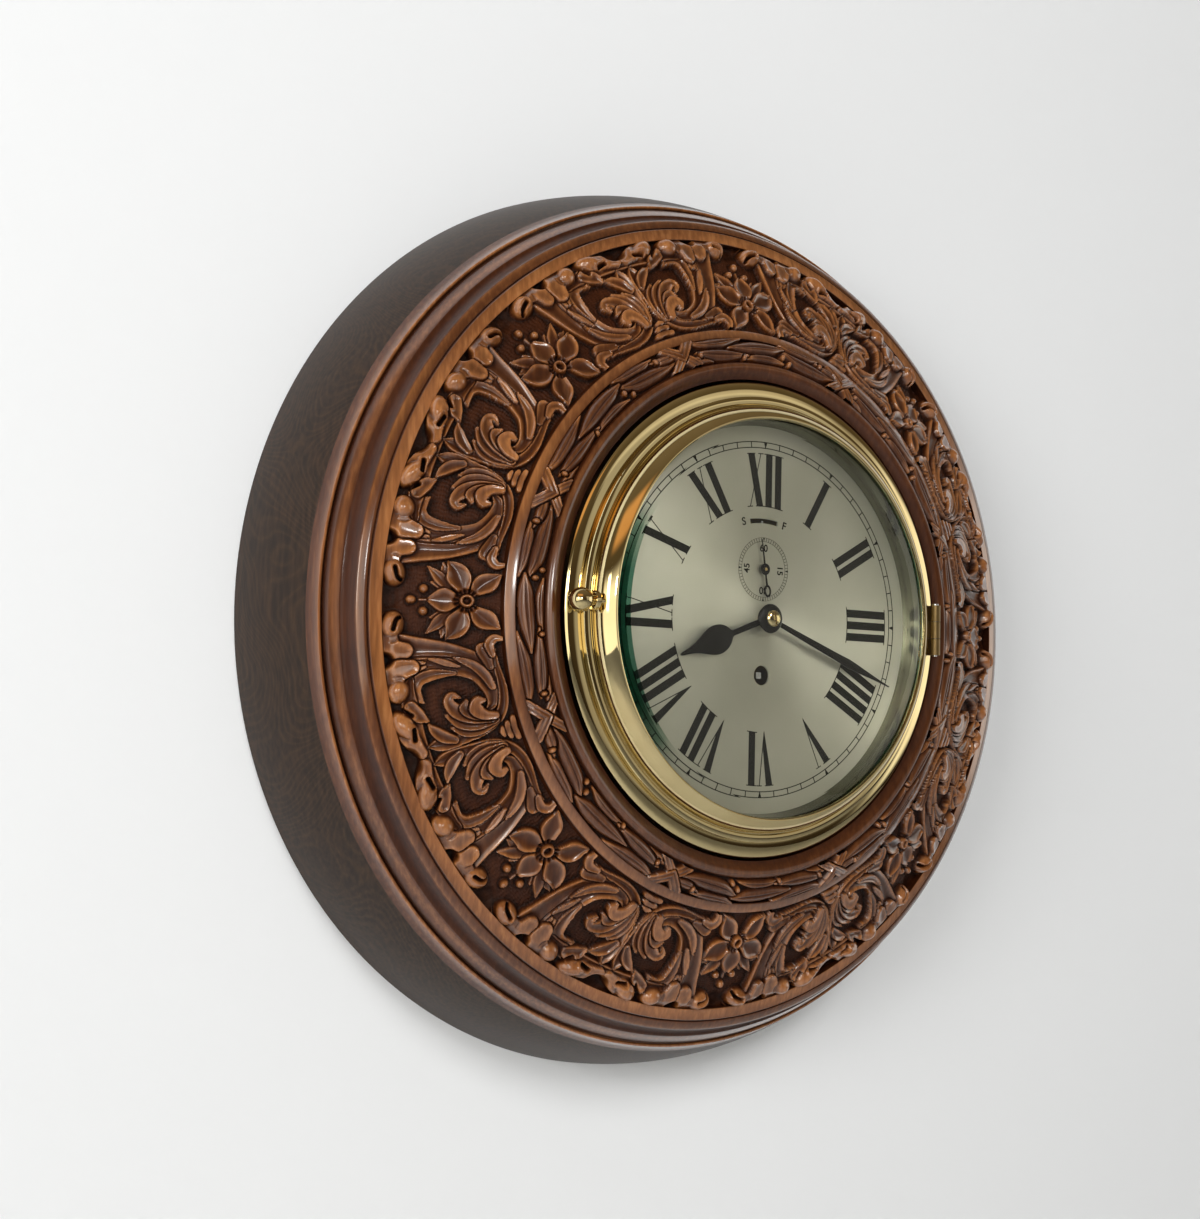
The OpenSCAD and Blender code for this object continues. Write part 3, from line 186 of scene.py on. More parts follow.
finish = {made.name: made for made in (
    carvedOak(),
    darkOak(),
    mottled("boardPine", ("#7b5a3a", "#916d48"), 0.6, 0, (60, 3)),
    polishedBrass("brightBrass", ("#cdb989", "#dccb9b"), 0.045, 0.012),
    polishedBrass("plainBrass", ("#b09868", "#c4ad7c"), 0.2, 0.05),
    silveredBrass(),
    polishedBrass("reflectorSilver", ("#77776a", "#858577"), 0.12, 0.004),
    mottled("blackWax", ("#0c0b0a", "#12110e"), 0.55, Specular_IOR_Level=0.1),
    mottled("blackEnamel", ("#090909", "#0f0e0e"), 0.3, strength=0.03, Specular_IOR_Level=0.12),
    mottled("brightSteel", ("#a9abad", "#bfc0c2"), 0.24, 1, (900, 3), 0.05),
    plateGlass(),
    mottled("glassEdge", ("#0d3a2c", "#14503c"), 0.35),
    # brass darkened to the dark brown that the flange beside the hinge reflects: a painted reflection
    mottled("darkenedHingeBrass", ("#75623f", "#85704b"), 0.45, 0.9, (90, 3)),
)}
print("finishes made")


# Modelling helpers
def deselectAll():
    if bpy.context.object and bpy.context.object.mode != "OBJECT":
        bpy.ops.object.mode_set(mode="OBJECT")
    bpy.ops.object.select_all(action="DESELECT")


def selectAll():
    bpy.ops.mesh.select_all(action="SELECT")


def makeActive(piece):
    deselectAll()
    piece.select_set(True)
    bpy.context.view_layer.objects.active = piece


def paint(piece, material):
    piece.data.materials.clear()
    piece.data.materials.append(finish[material])


def settle(piece, body, slot, material, *nodes):
    makeActive(piece)
    bpy.ops.object.transform_apply(location=True, rotation=True, scale=True)
    paint(piece, material)
    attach(piece, body)
    if nodes:
        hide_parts(*nodes)
    return piece


def smoothBy(piece, degrees):
    makeActive(piece)
    bpy.ops.object.shade_smooth_by_angle(angle=math.radians(degrees))


# A profile of (radius, height above the wall) in mm, drawn point by point and spun round the clock's axis
def turned(name, profile, steps, smooth=28):
    deselectAll()
    bpy.ops.mesh.primitive_plane_add(size=0.001)
    piece = bpy.context.object
    piece.name = name
    bpy.ops.object.mode_set(mode="EDIT")
    bpy.ops.mesh.merge(type="CENTER")
    start = profile[0]
    bpy.ops.transform.translate(value=(start[0] * mm, -start[1] * mm, 0))
    for a, b in zip(profile, profile[1:]):
        bpy.ops.mesh.extrude_vertices_move(
            TRANSFORM_OT_translate={"value": ((b[0] - a[0]) * mm, (a[1] - b[1]) * mm, 0)})
    selectAll()
    bpy.ops.mesh.spin(steps=steps, angle=2 * math.pi, center=(0, 0, 0), axis=(0, 1, 0))
    selectAll()
    bpy.ops.mesh.remove_doubles(threshold=0.00001)
    bpy.ops.mesh.normals_make_consistent(inside=False)
    bpy.ops.object.mode_set(mode="OBJECT")
    smoothBy(piece, smooth)
    return piece


def vertexPlaces(piece):
    places = np.zeros(len(piece.data.vertices) * 3)
    piece.data.vertices.foreach_get("co", places)
    return places.reshape(-1, 3)


def addAttribute(mesh, name, values):
    mesh.attributes.new(name, "FLOAT", "POINT").data.foreach_set("value", values.astype(np.float32))


# A turned piece is dark in its grooves and coves, from wax and dirt and as painted shade: stops of (radius, stain and
# shade from 0 dark to 1 worn), by rising radius
def shadeAndStainRings(piece, stops):
    places = vertexPlaces(piece)
    stainAndShade = np.interp(np.hypot(places[:, 0], places[:, 2]) / mm, *zip(*stops))
    addAttribute(piece.data, "cutDepth", stainAndShade)


def addMesh(name, points, edges, faces):
    mesh = bpy.data.meshes.new(name)
    mesh.from_pydata(points, edges, faces)
    piece = bpy.data.objects.new(name, mesh)
    bpy.context.scene.collection.objects.link(piece)
    makeActive(piece)
    return piece


def arcBetween(a, b, rise, steps):
    a, b = np.array(a, float), np.array(b, float)
    along = b - a
    side = np.array([along[1], -along[0]]) / np.linalg.norm(along)
    return [tuple(a + along * t + side * rise * 4 * t * (1 - t)) for t in np.linspace(0, 1, steps + 1)]


# Gives the active flat mesh its thickness, toward the front where depth is above 0, once its faces are ready
def thicken(makeReady, depth):
    bpy.ops.object.mode_set(mode="EDIT")
    selectAll()
    makeReady()
    selectAll()
    bpy.ops.mesh.extrude_region_move(TRANSFORM_OT_translate={"value": (0, -depth * mm, 0)})
    selectAll()
    bpy.ops.mesh.normals_make_consistent(inside=False)
    bpy.ops.object.mode_set(mode="OBJECT")


# Flat outlines in mm (right, up), filled, given their thickness from backZ to frontZ and softened at the edges
def cutPlate(name, outlines, backZ, frontZ, bevel):
    points, edges = [], []
    for outline in outlines:
        first = len(points)
        points += [(x * mm, -backZ * mm, y * mm) for x, y in outline]
        edges += [(first + i, first + (i + 1) % len(outline)) for i in range(len(outline))]
    piece = addMesh(name, points, edges, [])
    thicken(bpy.ops.mesh.fill, frontZ - backZ)
    soften = piece.modifiers.new("soften", "BEVEL")
    soften.width, soften.segments, soften.limit_method = bevel * mm, 3, "ANGLE"
    soften.angle_limit = math.radians(40)
    bpy.ops.object.modifier_apply(modifier="soften")
    smoothBy(piece, 35)
    return piece


def turnedBy(points, clockwiseDegrees, centre=(0, 0)):
    a = math.radians(-clockwiseDegrees)
    return [(centre[0] + x * math.cos(a) - y * math.sin(a), centre[1] + x * math.sin(a) + y * math.cos(a))
            for x, y in points]


# Points on an ellipse, by degrees clockwise from the top; at 360 it closes without a doubled point
def ovalPoints(halfWidth, halfHeight, start, end, count, up=0):
    return [(halfWidth * math.sin(t), up + halfHeight * math.cos(t))
            for t in np.linspace(math.radians(start), math.radians(end), count, endpoint=end < 360)]


# Camera, wall, floor and light
camera = {"place": (-0.6072, -0.8403, -0.0616), "yaw": 34.66, "pitch": 3.92, "roll": 1.34, "lens": 52.75}
yaw, pitch, roll = (math.radians(camera[k]) for k in ("yaw", "pitch", "roll"))
turn = Matrix.Rotation(-yaw, 4, "Z") @ Matrix.Rotation(math.pi / 2 + pitch, 4, "X") @ Matrix.Rotation(roll, 4, "Z")
bpy.ops.object.camera_add()
viewer = bpy.context.object
viewer.matrix_world = Matrix.Translation(camera["place"]) @ turn
viewer.data.lens = camera["lens"]
viewer.data.sensor_width = 36
bpy.context.scene.camera = viewer


def stageFinish(name, hexColour, seeThroughBehind):
    material, tree, surface = newMaterial(name, Roughness=0.9, Specular_IOR_Level=0.1,
                                          Base_Color=linear(hexColour))[:3]
    if seeThroughBehind:
        behind = addNode(tree, "NewGeometry").outputs["Backfacing"]
        letThrough(tree, surface, behind, "#ffffff")
    return material


# The wall is open behind the clock, unseen from the front, so that the back has light of its own
room = {"wallGap": 0.0006, "openRadius": 0.245, "wallSpread": 28, "floorSize": 9, "floorPlace": (0, -4.4, -1.4)}
deselectAll()
bpy.ops.mesh.primitive_circle_add(vertices=128, radius=room["openRadius"], location=(0, room["wallGap"], 0),
                                  rotation=(math.radians(90), 0, 0))
wall = bpy.context.object
wall.name = "wall"
bpy.ops.object.transform_apply(location=True, rotation=True, scale=True)
bpy.ops.object.mode_set(mode="EDIT")
selectAll()
bpy.ops.mesh.extrude_edges_move(TRANSFORM_OT_translate={"value": (0, 0, 0)})
bpy.ops.transform.resize(value=(room["wallSpread"], 1, room["wallSpread"]))
selectAll()
bpy.ops.mesh.normals_make_consistent(inside=False)
bpy.ops.object.mode_set(mode="OBJECT")
if wall.data.polygons[0].normal.y > 0:
    wall.data.flip_normals()
wall.data.materials.append(stageFinish("wallPaint", "#f4f5f5", True))
bpy.ops.mesh.primitive_plane_add(size=room["floorSize"], location=room["floorPlace"])
floor = bpy.context.object
floor.name = "floor"
bpy.ops.object.transform_apply(location=True, rotation=True, scale=True)
floor.data.materials.append(stageFinish("floorPaint", "#d9d8d4", False))


# A square lamp that looks at the clock: side in metres, power in watts
def softbox(name, place, side, power):
    bpy.ops.object.light_add(type="AREA", location=place)
    lamp = bpy.context.object
    lamp.name = name
    lamp.data.shape, lamp.data.size, lamp.data.energy = "SQUARE", side, power
    lamp.rotation_euler = (-Vector(place)).to_track_quat("-Z", "Y").to_euler()
    return lamp


# The glint lights only glossy reflections, the grain of the dial among them; the other lamps are kept out of what the
# brass mirrors
keyLight = softbox("keyLight", (-0.45, -2.9, 1.55), 1.0, 43)
sideLight = softbox("sideLight", (-2.35, -1.45, 0.35), 1.1, 41)
glint = softbox("glint", (-0.8, -1.6, 0.3), 0.16, 2.4)
backLight = softbox("backLight", (0.9, 2.4, 1), 1.2, 24)
keyLight.visible_glossy = sideLight.visible_glossy = glint.visible_diffuse = False
backLight.visible_glossy = backLight.visible_camera = backLight.visible_transmission = False
world = bpy.data.worlds.new("room")
bpy.context.scene.world = world
world.use_nodes = True
worldTree = world.node_tree
toward = addNode(worldTree, "TexCoord").outputs["Generated"]
parts = addNode(worldTree, "SeparateXYZ", {0: toward})
heightShare = addNode(worldTree, "MapRange", {"Value": parts.outputs["Z"], "From Min": -1.0})
outward = addNode(worldTree, "Math", {0: parts.outputs["Y"], 1: -1.0}, operation="MULTIPLY")
sideways = addNode(worldTree, "Math", {0: parts.outputs["X"], 1: outward}, operation="ARCTAN2")


def between(value, low, high, soft):
    rise = addNode(worldTree, "MapRange", {"Value": value, "From Min": low, "From Max": low + soft},
                   interpolation_type="SMOOTHSTEP")
    fall = addNode(worldTree, "MapRange", {"Value": value, "From Min": high, "From Max": high - soft},
                   interpolation_type="SMOOTHSTEP")
    return addNode(worldTree, "Math", {0: rise, 1: fall}, operation="MULTIPLY")


# What polished things mirror: a dark room with pale windows at eye height, placed by degrees to the side and height
windows = [dict(side=(-85, -14), height=(-0.66, 0.34), soft=(10, 0.2), colour=(1.75, 1.69, 1.53, 1)),
           dict(side=(20, 52), height=(-0.14, 0.32), soft=(5, 0.07), colour=(0.42, 0.41, 0.37, 1)),
           dict(side=(15, 50), height=(0.24, 0.38), soft=(8, 0.05), colour=(0.6, 0.57, 0.5, 1)),
           dict(side=(47, 120), height=(-0.22, 0.34), soft=(8, 0.14), colour=(1.5, 1.47, 1.36, 1)),
           dict(side=(-64, -50), height=(0.02, 0.3), soft=(3, 0.05), colour=(7.5, 7.3, 6.8, 1)),
           dict(side=(-78, -5), height=(0.4, 0.78), soft=(20, 0.12), colour=(0.75, 0.36, 0.12, 1))]
mirrored = addNode(worldTree, "ValToRGB", {"Fac": heightShare},
                   [(0.0, "#2a241c"), (0.4, "#31291d"), (0.55, "#504433"), (0.72, "#61543f"),
                    (1.0, "#7f715c")])
for window in windows:
    across = between(sideways, *(math.radians(v) for v in window["side"]), math.radians(window["soft"][0]))
    upDown = between(parts.outputs["Z"], *window["height"], window["soft"][1])
    mask = addNode(worldTree, "Math", {0: across, 1: upDown}, operation="MULTIPLY")
    mirrored = addNode(worldTree, "Mix", {"Factor": mask, "A": mirrored, "B": window["colour"]},
                       data_type="RGBA", blend_type="ADD")
ambient = addNode(worldTree, "ValToRGB", {"Fac": heightShare},
                  [(0.0, "#1a1816"), (0.3, "#423f3c"), (0.5, "#8e8d8b"), (0.7, "#8e8d8d"),
                   (1.0, "#737374")])
ray = addNode(worldTree, "LightPath").outputs
glossy = addNode(worldTree, "Math", {0: ray["Is Glossy Ray"], 1: ray["Is Transmission Ray"]}, operation="MAXIMUM")
seen = addNode(worldTree, "Mix", {"Factor": glossy, "A": ambient, "B": mirrored}, data_type="RGBA")
connect(worldTree.nodes["Background"], {"Color": seen})
bpy.context.scene.view_settings.view_transform = "Standard"
print("stage set")

# The drum: bent staves, flared to the wall, with a softened front rim that has the front's brown stain
drum = {"backRadius": 249.4, "frontRadius": 231.4, "depth": 57.8, "wall": 14, "swell": 3, "brownFrom": 50.5,
        "rimInside": 228}
outside = arcBetween((drum["backRadius"], 0.1), (drum["frontRadius"] + 0.3, drum["depth"] - 1.6), drum["swell"], 20)
inside = arcBetween((drum["frontRadius"] - drum["wall"], 57.4), (drum["backRadius"] - drum["wall"], 8.1), -3, 8)
drumPiece = turned("drum", outside + [(231.6, 57.2), (231.2, 57.9), (230.4, 58.1), (229.8, 57.6), (229.6, 56.2),
                   (228, 56)] + inside + [(241.2, 8.1), (241.2, 0.1), outside[0]], 480)
settle(drumPiece, "case", "dark_wood", "darkOak", "case_drum")
# the rim's brown is darkest inside where it meets the moulding, painted shade as well as stain, and palest on its
# rounded edge
shadeAndStainRings(drumPiece, [(228, 0.3), (230.2, 0.8), (231.2, 0.95), (231.9, 0.6), (234.5, 0.5)])
drumPiece.data.materials.append(finish["carvedOak"])
for face in drumPiece.data.polygons:
    faceRadius = math.hypot(face.center.x, face.center.z)
    if face.center.y < -drum["brownFrom"] * mm and faceRadius > drum["rimInside"] * mm:
        face.material_index = 1

# The carved front's mouldings, as (radius, height) sections
moulding = {
    "outer": [(216, 56), (228.9, 56), (228.8, 58.2), (228.5, 59.9), (227.5, 61.5), (226.2, 63.4), (225, 65.1),
              (224.2, 66.2), (223.2, 66.4), (222.2, 67.2), (221.2, 68.8), (220.5, 71), (220.1, 73.2), (219.8, 74.2),
              (219.2, 74.9), (218.2, 75.5), (216.9, 76.2), (215.6, 76.9), (215.1, 76.9), (214.9, 76.3), (214.6, 76.3),
              (214.4, 77.4), (214, 77.9), (208.4, 79.6), (208, 79.4), (207.9, 71), (207, 60), (216, 56)],
    "fillet": [(155.3, 96), (154.9, 104.4), (154.5, 104.9), (150.2, 106.9), (149.8, 106.7), (149.5, 103), (149, 96),
               (155.3, 96)],
    "inner": [(136.6, 104), (136.4, 112.4), (135.9, 113.5), (135, 114.3), (133.9, 114.8), (132.5, 114.6),
              (131, 113.9), (129.6, 113), (128.3, 112.3), (127.4, 112), (127.4, 99), (136.6, 99),
              (136.6, 104)],
}
# Stain by radius: darkest in the outer moulding's cove and grooves and where the inner ring falls to the bowl, painted
# shade there as well as stain
rings = {"outer": [(207.9, 0.2), (208.4, 1), (213.8, 1), (214.6, 0.15), (215.3, 0.6), (217.5, 0.6), (219.4, 0.75),
                   (219.9, 0.42), (222.6, 0.34), (224.2, 0.5), (225.6, 0.8), (227.3, 0.62), (228.6, 0.4), (228.9, 0.1)],
         "fillet": [(149.8, 0.3), (150.4, 0.8), (153.6, 0.8), (154.5, 0.85), (155.2, 0.1)],
         "inner": [(127.4, 0.4), (131, 0.5), (133, 0.55), (134.2, 0.66), (136.2, 0.55), (136.5, 0.1)]}
outerMoulding = turned("outerMoulding", moulding["outer"], 480, 30)
shadeAndStainRings(outerMoulding, rings["outer"])
settle(outerMoulding, "case", "carved_wood", "carvedOak", "carved_surround")
for key in ("fillet", "inner"):
    ring = turned(key + "Moulding", moulding[key], 400, 30)
    shadeAndStainRings(ring, rings[key])
    settle(ring, "case", "carved_wood", "carvedOak")
print("turned wood made")

# Carving. A stroke is (rise, hollow, lean, line of (degrees from the flower, radius, half width)), in mm; strokes are
# laid one over another on a sunk ground. The arc and lobeArc turn degrees into mm along the field
carving = {"outerRadius": 208, "innerRadius": 154.6, "outerZ": 78.5, "innerZ": 104.6, "ground": -3.4,
           "across": 400, "along": 156, "groove": 0.6, "arc": 3.1,
           "lobeArc": 3.5, "crown": 0}
eye = {"at": 169.7, "hollow": 6.6, "gouges": 15, "ring": 2.5, "ringHalf": 0.9, "ringRise": 4.9}
repeats = 8
strokes = [
    # stem that rises from the foot, broad at its head beside the small lobe
    (4.3, 0.3, -0.2, [(6.3, 203, 5.52), (6.7, 198, 5.76), (7, 192, 5.16), (7.25, 186, 4.56), (7.65, 179, 3.72),
     (8.4, 173, 3.36), (9.5, 167.2, 3.36), (11, 163.2, 3.24), (13.2, 160.6, 2.64), (16.2, 159.6, 1.92)]),
    # second stem, fluted at its head, that becomes the scroll
    (5.0, 0.42, 0.25, [(10.3, 202.5, 6.48), (9.95, 198, 5.64), (9.7, 194, 4.44), (9.5, 189.4, 3.6),
     (9.75, 184.7, 3.84), (10.25, 178.8, 4.2), (10.9, 172.9, 3.96), (11.9, 167.5, 4.08), (13.5, 164.1, 3.96),
     (15.5, 162.5, 3.24), (17.3, 163.2, 2.4), (18.1, 165.8, 1.2)]),
    (5.4, 0.1, 0, [(11.2, 203.2, 2.64), (10.8, 198.5, 2.4), (10.2, 194, 1.56), (9.8, 189, 0.48)]),
    (5.1, 0.1, 0, [(9, 203, 2.28), (9.1, 198.5, 2.04), (9.1, 194.5, 1.44), (9.2, 189, 0.48)]),
    # the scroll's hooked tip and its two jagged leaf edges
    (5.3, 0.35, 0.2, [(14.9, 192.2, 0.48), (14.1, 193.9, 1.92), (12.8, 194.8, 2.64), (11.6, 192.6, 2.88),
     (11.15, 188, 2.76), (11.1, 183, 2.16), (11.35, 177, 0.96)]),
    (5.6, 0.2, -0.3, [(8.95, 176.8, 0.36), (9.6, 172.5, 1.68), (10.6, 168, 2.28), (12.3, 164.1, 2.4),
     (14.6, 161.6, 1.56)]),
    (5.5, 0.1, -0.3, [(8.75, 187.4, 0.36), (9.1, 183.6, 1.32), (9.7, 179.4, 1.56), (10.4, 174.6, 0.6)]),
    # leaf edge that runs under the large lobes to the middle
    (4.6, 0.45, 0.2, [(11.3, 196.2, 1.56), (13.4, 198, 3.24), (16.4, 198.2, 4.08), (19.2, 198.2, 3.72),
     (22.6, 197.6, 3.12)]),
    (4.9, 0.3, 0.3, [(15.2, 198, 3.12), (16.7, 195, 3), (17.6, 191.8, 0.48)]),
    # twin stem beside the middle, with its side prong and its foot
    (4.7, 0.45, 0, [(21.2, 194.4, 0.72), (21.3, 190.8, 2.88), (21.55, 185.5, 3.12), (21.6, 178, 2.4),
     (21.5, 171, 2.04), (20.8, 165.6, 2.4), (19.5, 161.2, 2.64), (17.6, 158.4, 2.4), (15.1, 157.4, 2.04),
     (12.6, 157.9, 1.68), (10.4, 158.8, 1.44), (8.3, 159, 1.2)]),
    (4.6, 0.3, -0.2, [(21.3, 183, 1.92), (20.4, 187.2, 2.88), (19.2, 190.4, 2.28), (18.1, 192.2, 0.48)]),
    # the leaf: five broad fingers cut into one curled sheet
    (4.0, 0.0, 0.2, [(20, 163.5, 2.2), (19.7, 170, 5), (18.7, 176, 6), (17.6, 179.6, 4.6), (16.8, 181.6, 2)]),
    (4.8, 0.3, 0.2, [(20.4, 164, 2.16), (20.9, 171, 3), (20.6, 177.5, 2.64), (19.5, 183, 0.6)]),
    (5.0, 0.3, 0.25, [(20.1, 164, 2.16), (19.9, 172, 3.48), (18.9, 178.5, 3.48), (17.5, 183.8, 0.84)]),
    (5.3, 0.28, 0.25, [(19.7, 165, 2.28), (18.6, 173, 3.6), (17.1, 178.8, 3.84), (15.5, 181.6, 2.52),
     (14.7, 179.6, 1.92), (15.2, 176.6, 0.6)]),
    (5.5, 0.25, 0.2, [(19.4, 165, 2.04), (18.3, 171.6, 3), (17, 175.4, 2.64), (15.9, 174, 0.72)]),
    (6.3, 0.05, 0, [(19.3, 163.4, 2.04), (18.8, 167.6, 2.64), (17.6, 170.6, 3.36), (16.4, 169.3, 2.88),
     (16.4, 166.6, 1.08)]),
    # small curled leaf at the foot
    (4.2, 0.2, 0, [(11.2, 161.2, 1.68), (9.4, 162.5, 2.76), (7.9, 164.3, 2.52), (7.3, 162.6, 1.44)]),
    (4.6, 0.15, 0, [(9.2, 159.6, 1.44), (7.4, 160.6, 2.28), (6.4, 158.4, 2.4), (6.5, 155.2, 1.44)]),
    # where the stems roll over into the lobes at the rim
    (6.2, 0.05, -0.2, [(3.4, 203.2, 5.28), (5.2, 204.2, 4.56), (6.8, 202.3, 4.56), (7.2, 197, 3.6)]),
    (6.4, 0.1, 0.2, [(12.6, 203.4, 5.52), (10.9, 204, 5.04), (9.9, 200.6, 5.04), (9.6, 195, 3.6)]),
    (6.0, 0.1, -0.2, [(17.6, 203, 5.04), (19.8, 200.9, 4.08), (21.6, 198.6, 2.88)]),
    # stacked shell at the middle
    (3.6, 0.0, 0, [(20.6, 156.2, 1.2), (22.5, 157, 1.8)]),
    (4.1, 0.0, 0, [(21.2, 159.2, 1.08), (22.5, 159.9, 1.56)]),
    (4.5, 0.0, 0, [(21.8, 161.9, 0.84), (22.5, 162.3, 1.32)]),
    # leaves beside the top petal
    (3.2, 0.2, 0, [(1.5, 177.4, 1.44), (2.3, 181.4, 2.28), (2.6, 185.2, 0.72)]),
    (3.2, 0.2, 0, [(2.2, 178.4, 1.44), (3.9, 180, 2.28), (5.7, 180.9, 0.48)]),
    (3.8, 0.3, 0.3, [(1.9, 178.2, 1.44), (3.4, 182.2, 2.88), (4.9, 187.4, 0.48)]),
    # petals: top, side and lower
    (4.4, 0.3, 0, [(0, 173, 2.16), (0, 178, 5.88), (0, 182, 5.4), (0, 187.4, 0.36)]),
    (4.9, 0.4, 0.2, [(1.4, 171.2, 2.04), (3.2, 173.2, 5.64), (4.7, 175.4, 5.04), (6, 179.2, 0.36)]),
    (4.9, 0.4, -0.2, [(1.2, 167, 1.92), (2.6, 163.4, 5.16), (3.6, 159.8, 4.8), (4.8, 155.4, 0.36)]),
    (1.8, 0.0, 0, [(0, 187.4, 0.6), (0, 192, 0.6)]),
]
# berries and lobes are (degrees, radius, half width, half height, rise); each rolled lobe has its knife cut
domes = [(1.65, 188.6, 2.2, 2.1, 3.6), (0, 194, 2, 2.4, 3.6)]
lobes = [dict(at=(3.7, 202), size=(7.4, 5.2), rise=7.8, tilt=8, joins=1,
              slit=[(2.5, 198), (2.9, 200.2), (4.2, 201.7)]),
         dict(at=(12.6, 202), size=(6.6, 5.4), rise=7.9, tilt=12, joins=-1,
              slit=[(14.3, 206), (15, 202.8), (16.3, 198.4)]),
         dict(at=(17.7, 202.2), size=(9.2, 4.9), rise=8.0, tilt=-24, joins=1, slit=[(18.2, 198.8), (19.7, 199.5)])]


def splineThrough(points, count):
    points = np.array(points, float)
    padded = np.vstack([2 * points[0] - points[1], points, 2 * points[-1] - points[-2]])
    out = []
    for i in range(len(points) - 1):
        p0, p1, p2, p3 = padded[i:i + 4]
        for t in np.linspace(0, 1, count, endpoint=False):
            out.append(0.5 * (2 * p1 + (p2 - p0) * t + (2 * p0 - 5 * p1 + 4 * p2 - p3) * t * t
                              + (3 * p1 - p0 - 3 * p2 + p3) * t ** 3))
    return np.array(out + [points[-1]])


# Distance to the line, its half width there, and the side of it
def nearestOn(line, x, y):
    best = np.full(x.shape, 1e9)
    width = np.zeros(x.shape)
    side = np.zeros(x.shape)
    for a, b in zip(line, line[1:]):
        d = b[:2] - a[:2]
        t = np.clip(((x - a[0]) * d[0] + (y - a[1]) * d[1]) / max(d @ d, 1e-9), 0, 1)
        px, py = x - a[0] - t * d[0], y - a[1] - t * d[1]
        dist = np.hypot(px, py)
        closer = dist < best
        best = np.where(closer, dist, best)
        width = np.where(closer, a[2] + t * (b[2] - a[2]), width)
        side = np.where(closer, np.sign(d[0] * py - d[1] * px), side)
    return best, width, side


def ease(low, high, value):
    t = np.clip((value - low) / (high - low), 0, 1)
    return t * t * (3 - 2 * t)


# Lays one stroke on the ground: steep sides, a dish between raised edges, one side higher, and a knife line round it
def layStroke(height, x, y, stroke, scale):
    rise, hollow, lean, points = stroke
    line = splineThrough([(deg * scale, r, w) for deg, r, w in points], 6)
    dist, width, side = nearestOn(line, x, y)
    q = dist / np.maximum(width, 0.05)
    crown = 1 - hollow * np.clip(1 - (q / 0.86) ** 2, 0, 1) + 0.35 * lean * side * np.clip(q, 0, 1)
    wall = 1 - ease(0.86, 1.02, q)
    top = rise * crown * (0.3 + 0.7 * wall)
    outside = (dist - width) / carving["groove"]
    bottom = np.minimum(height, 0.45 * rise)
    ringed = np.where(outside < 1, bottom + (height - bottom) * ease(0.1, 1, outside), height)
    return np.where(q < 1, np.maximum(top, np.minimum(height, rise * 0.5)), ringed)


def reliefAt(angle, radius):
    scale, lobeScale = carving["arc"], carving["lobeArc"]
    a = np.abs(angle)
    x, y = a * scale, radius
    # gouge marks of the ground, across the field
    height = 0.22 * np.sin(radius * 5.2 + 1.5 * np.sin(angle * 2.1)) * (0.6 + 0.4 * np.sin(angle * 5.3 + radius * 0.7))
    height = height + 0.12 * np.sin(angle * 9.7 + np.sin(radius * 1.3))
    for stroke in strokes:
        height = layStroke(height, x, y, stroke, scale)
    height = height * (1 - 0.5 * ease(201.5, 208, radius))
    # radial gouge marks round the flower's eye, then its ring
    fx, fy = angle * scale, radius - eye["at"]
    rho, around = np.hypot(fx, fy), np.arctan2(fy, fx)
    marks = 1.4 + np.cos(around * eye["gouges"])
    sunk = np.minimum(height, marks + (height - marks) * ease(4.8, eye["hollow"], rho))
    height = np.where(rho < eye["hollow"], sunk, height)
    ringTop = eye["ringRise"] * np.sqrt(np.clip(1 - ((rho - eye["ring"]) / eye["ringHalf"]) ** 2, 0, 1))
    height = np.where(rho < 3.6, np.maximum(ringTop, np.where(rho < 2.4, 0.8 + 1.2 * (rho < 1.1), -0.4)), height)
    for deg, r, w, h, rise in domes:
        q = np.hypot((a - deg) * scale / w, (radius - r) / h)
        height = np.where(q < 1.35, np.minimum(height, -0.4), height)
        height = np.where(q < 1, rise * np.sqrt(np.clip(1 - q * q, 0, 1)), height)
    # hollows behind the lobes, against the rim
    for deg, r, w, h in ((0, 204, 7.4, 7), (8.3, 206.4, 4.6, 5.2), (22.5, 204.6, 9, 6.4)):
        q = np.hypot((a - deg) * lobeScale / w, (radius - r) / h)
        height = np.minimum(height, -1.8 + (height + 1.8) * ease(0.3, 1.0, q))
    for lobe in lobes:
        t = math.radians(lobe["tilt"])
        dx, dy = (a - lobe["at"][0]) * lobeScale, radius - lobe["at"][1]
        u, v = dx * math.cos(t) + dy * math.sin(t), dy * math.cos(t) - dx * math.sin(t)
        q = np.hypot(u / lobe["size"][0], v / lobe["size"][1])
        dome = lobe["rise"] * (np.clip(1 - q ** 2.2, 0, 1)) ** 0.6
        # the knife line fades where the lobe rolls out of its leaf
        edge = ease(-0.9, 0.3, v / lobe["size"][1]) * (1 - ease(-0.3, 0.5, lobe["joins"] * u / lobe["size"][0]))
        ring = (q > 1) & (q < 1.2)
        low = np.minimum(height, -0.6 * edge + 5.0 * (1 - edge))
        height = np.where(ring, low + (height - low) * ease(1.0, 1.2, q), height)
        height = np.where(q < 1, np.maximum(dome, np.minimum(height, 2.2 + 3.2 * (1 - edge))), height)
    for lobe in lobes:
        slit = splineThrough([(deg * lobeScale, r, 1.0) for deg, r in lobe["slit"]], 6)
        dist = nearestOn(slit, a * lobeScale, radius)[0]
        high = ease(2.5, 4.5, height)
        height = height - 6.0 * (1 - ease(0.3, 1.25, dist)) * high + 0.6 * np.exp(-((dist - 1.9) / 0.7) ** 2) * high
    return height
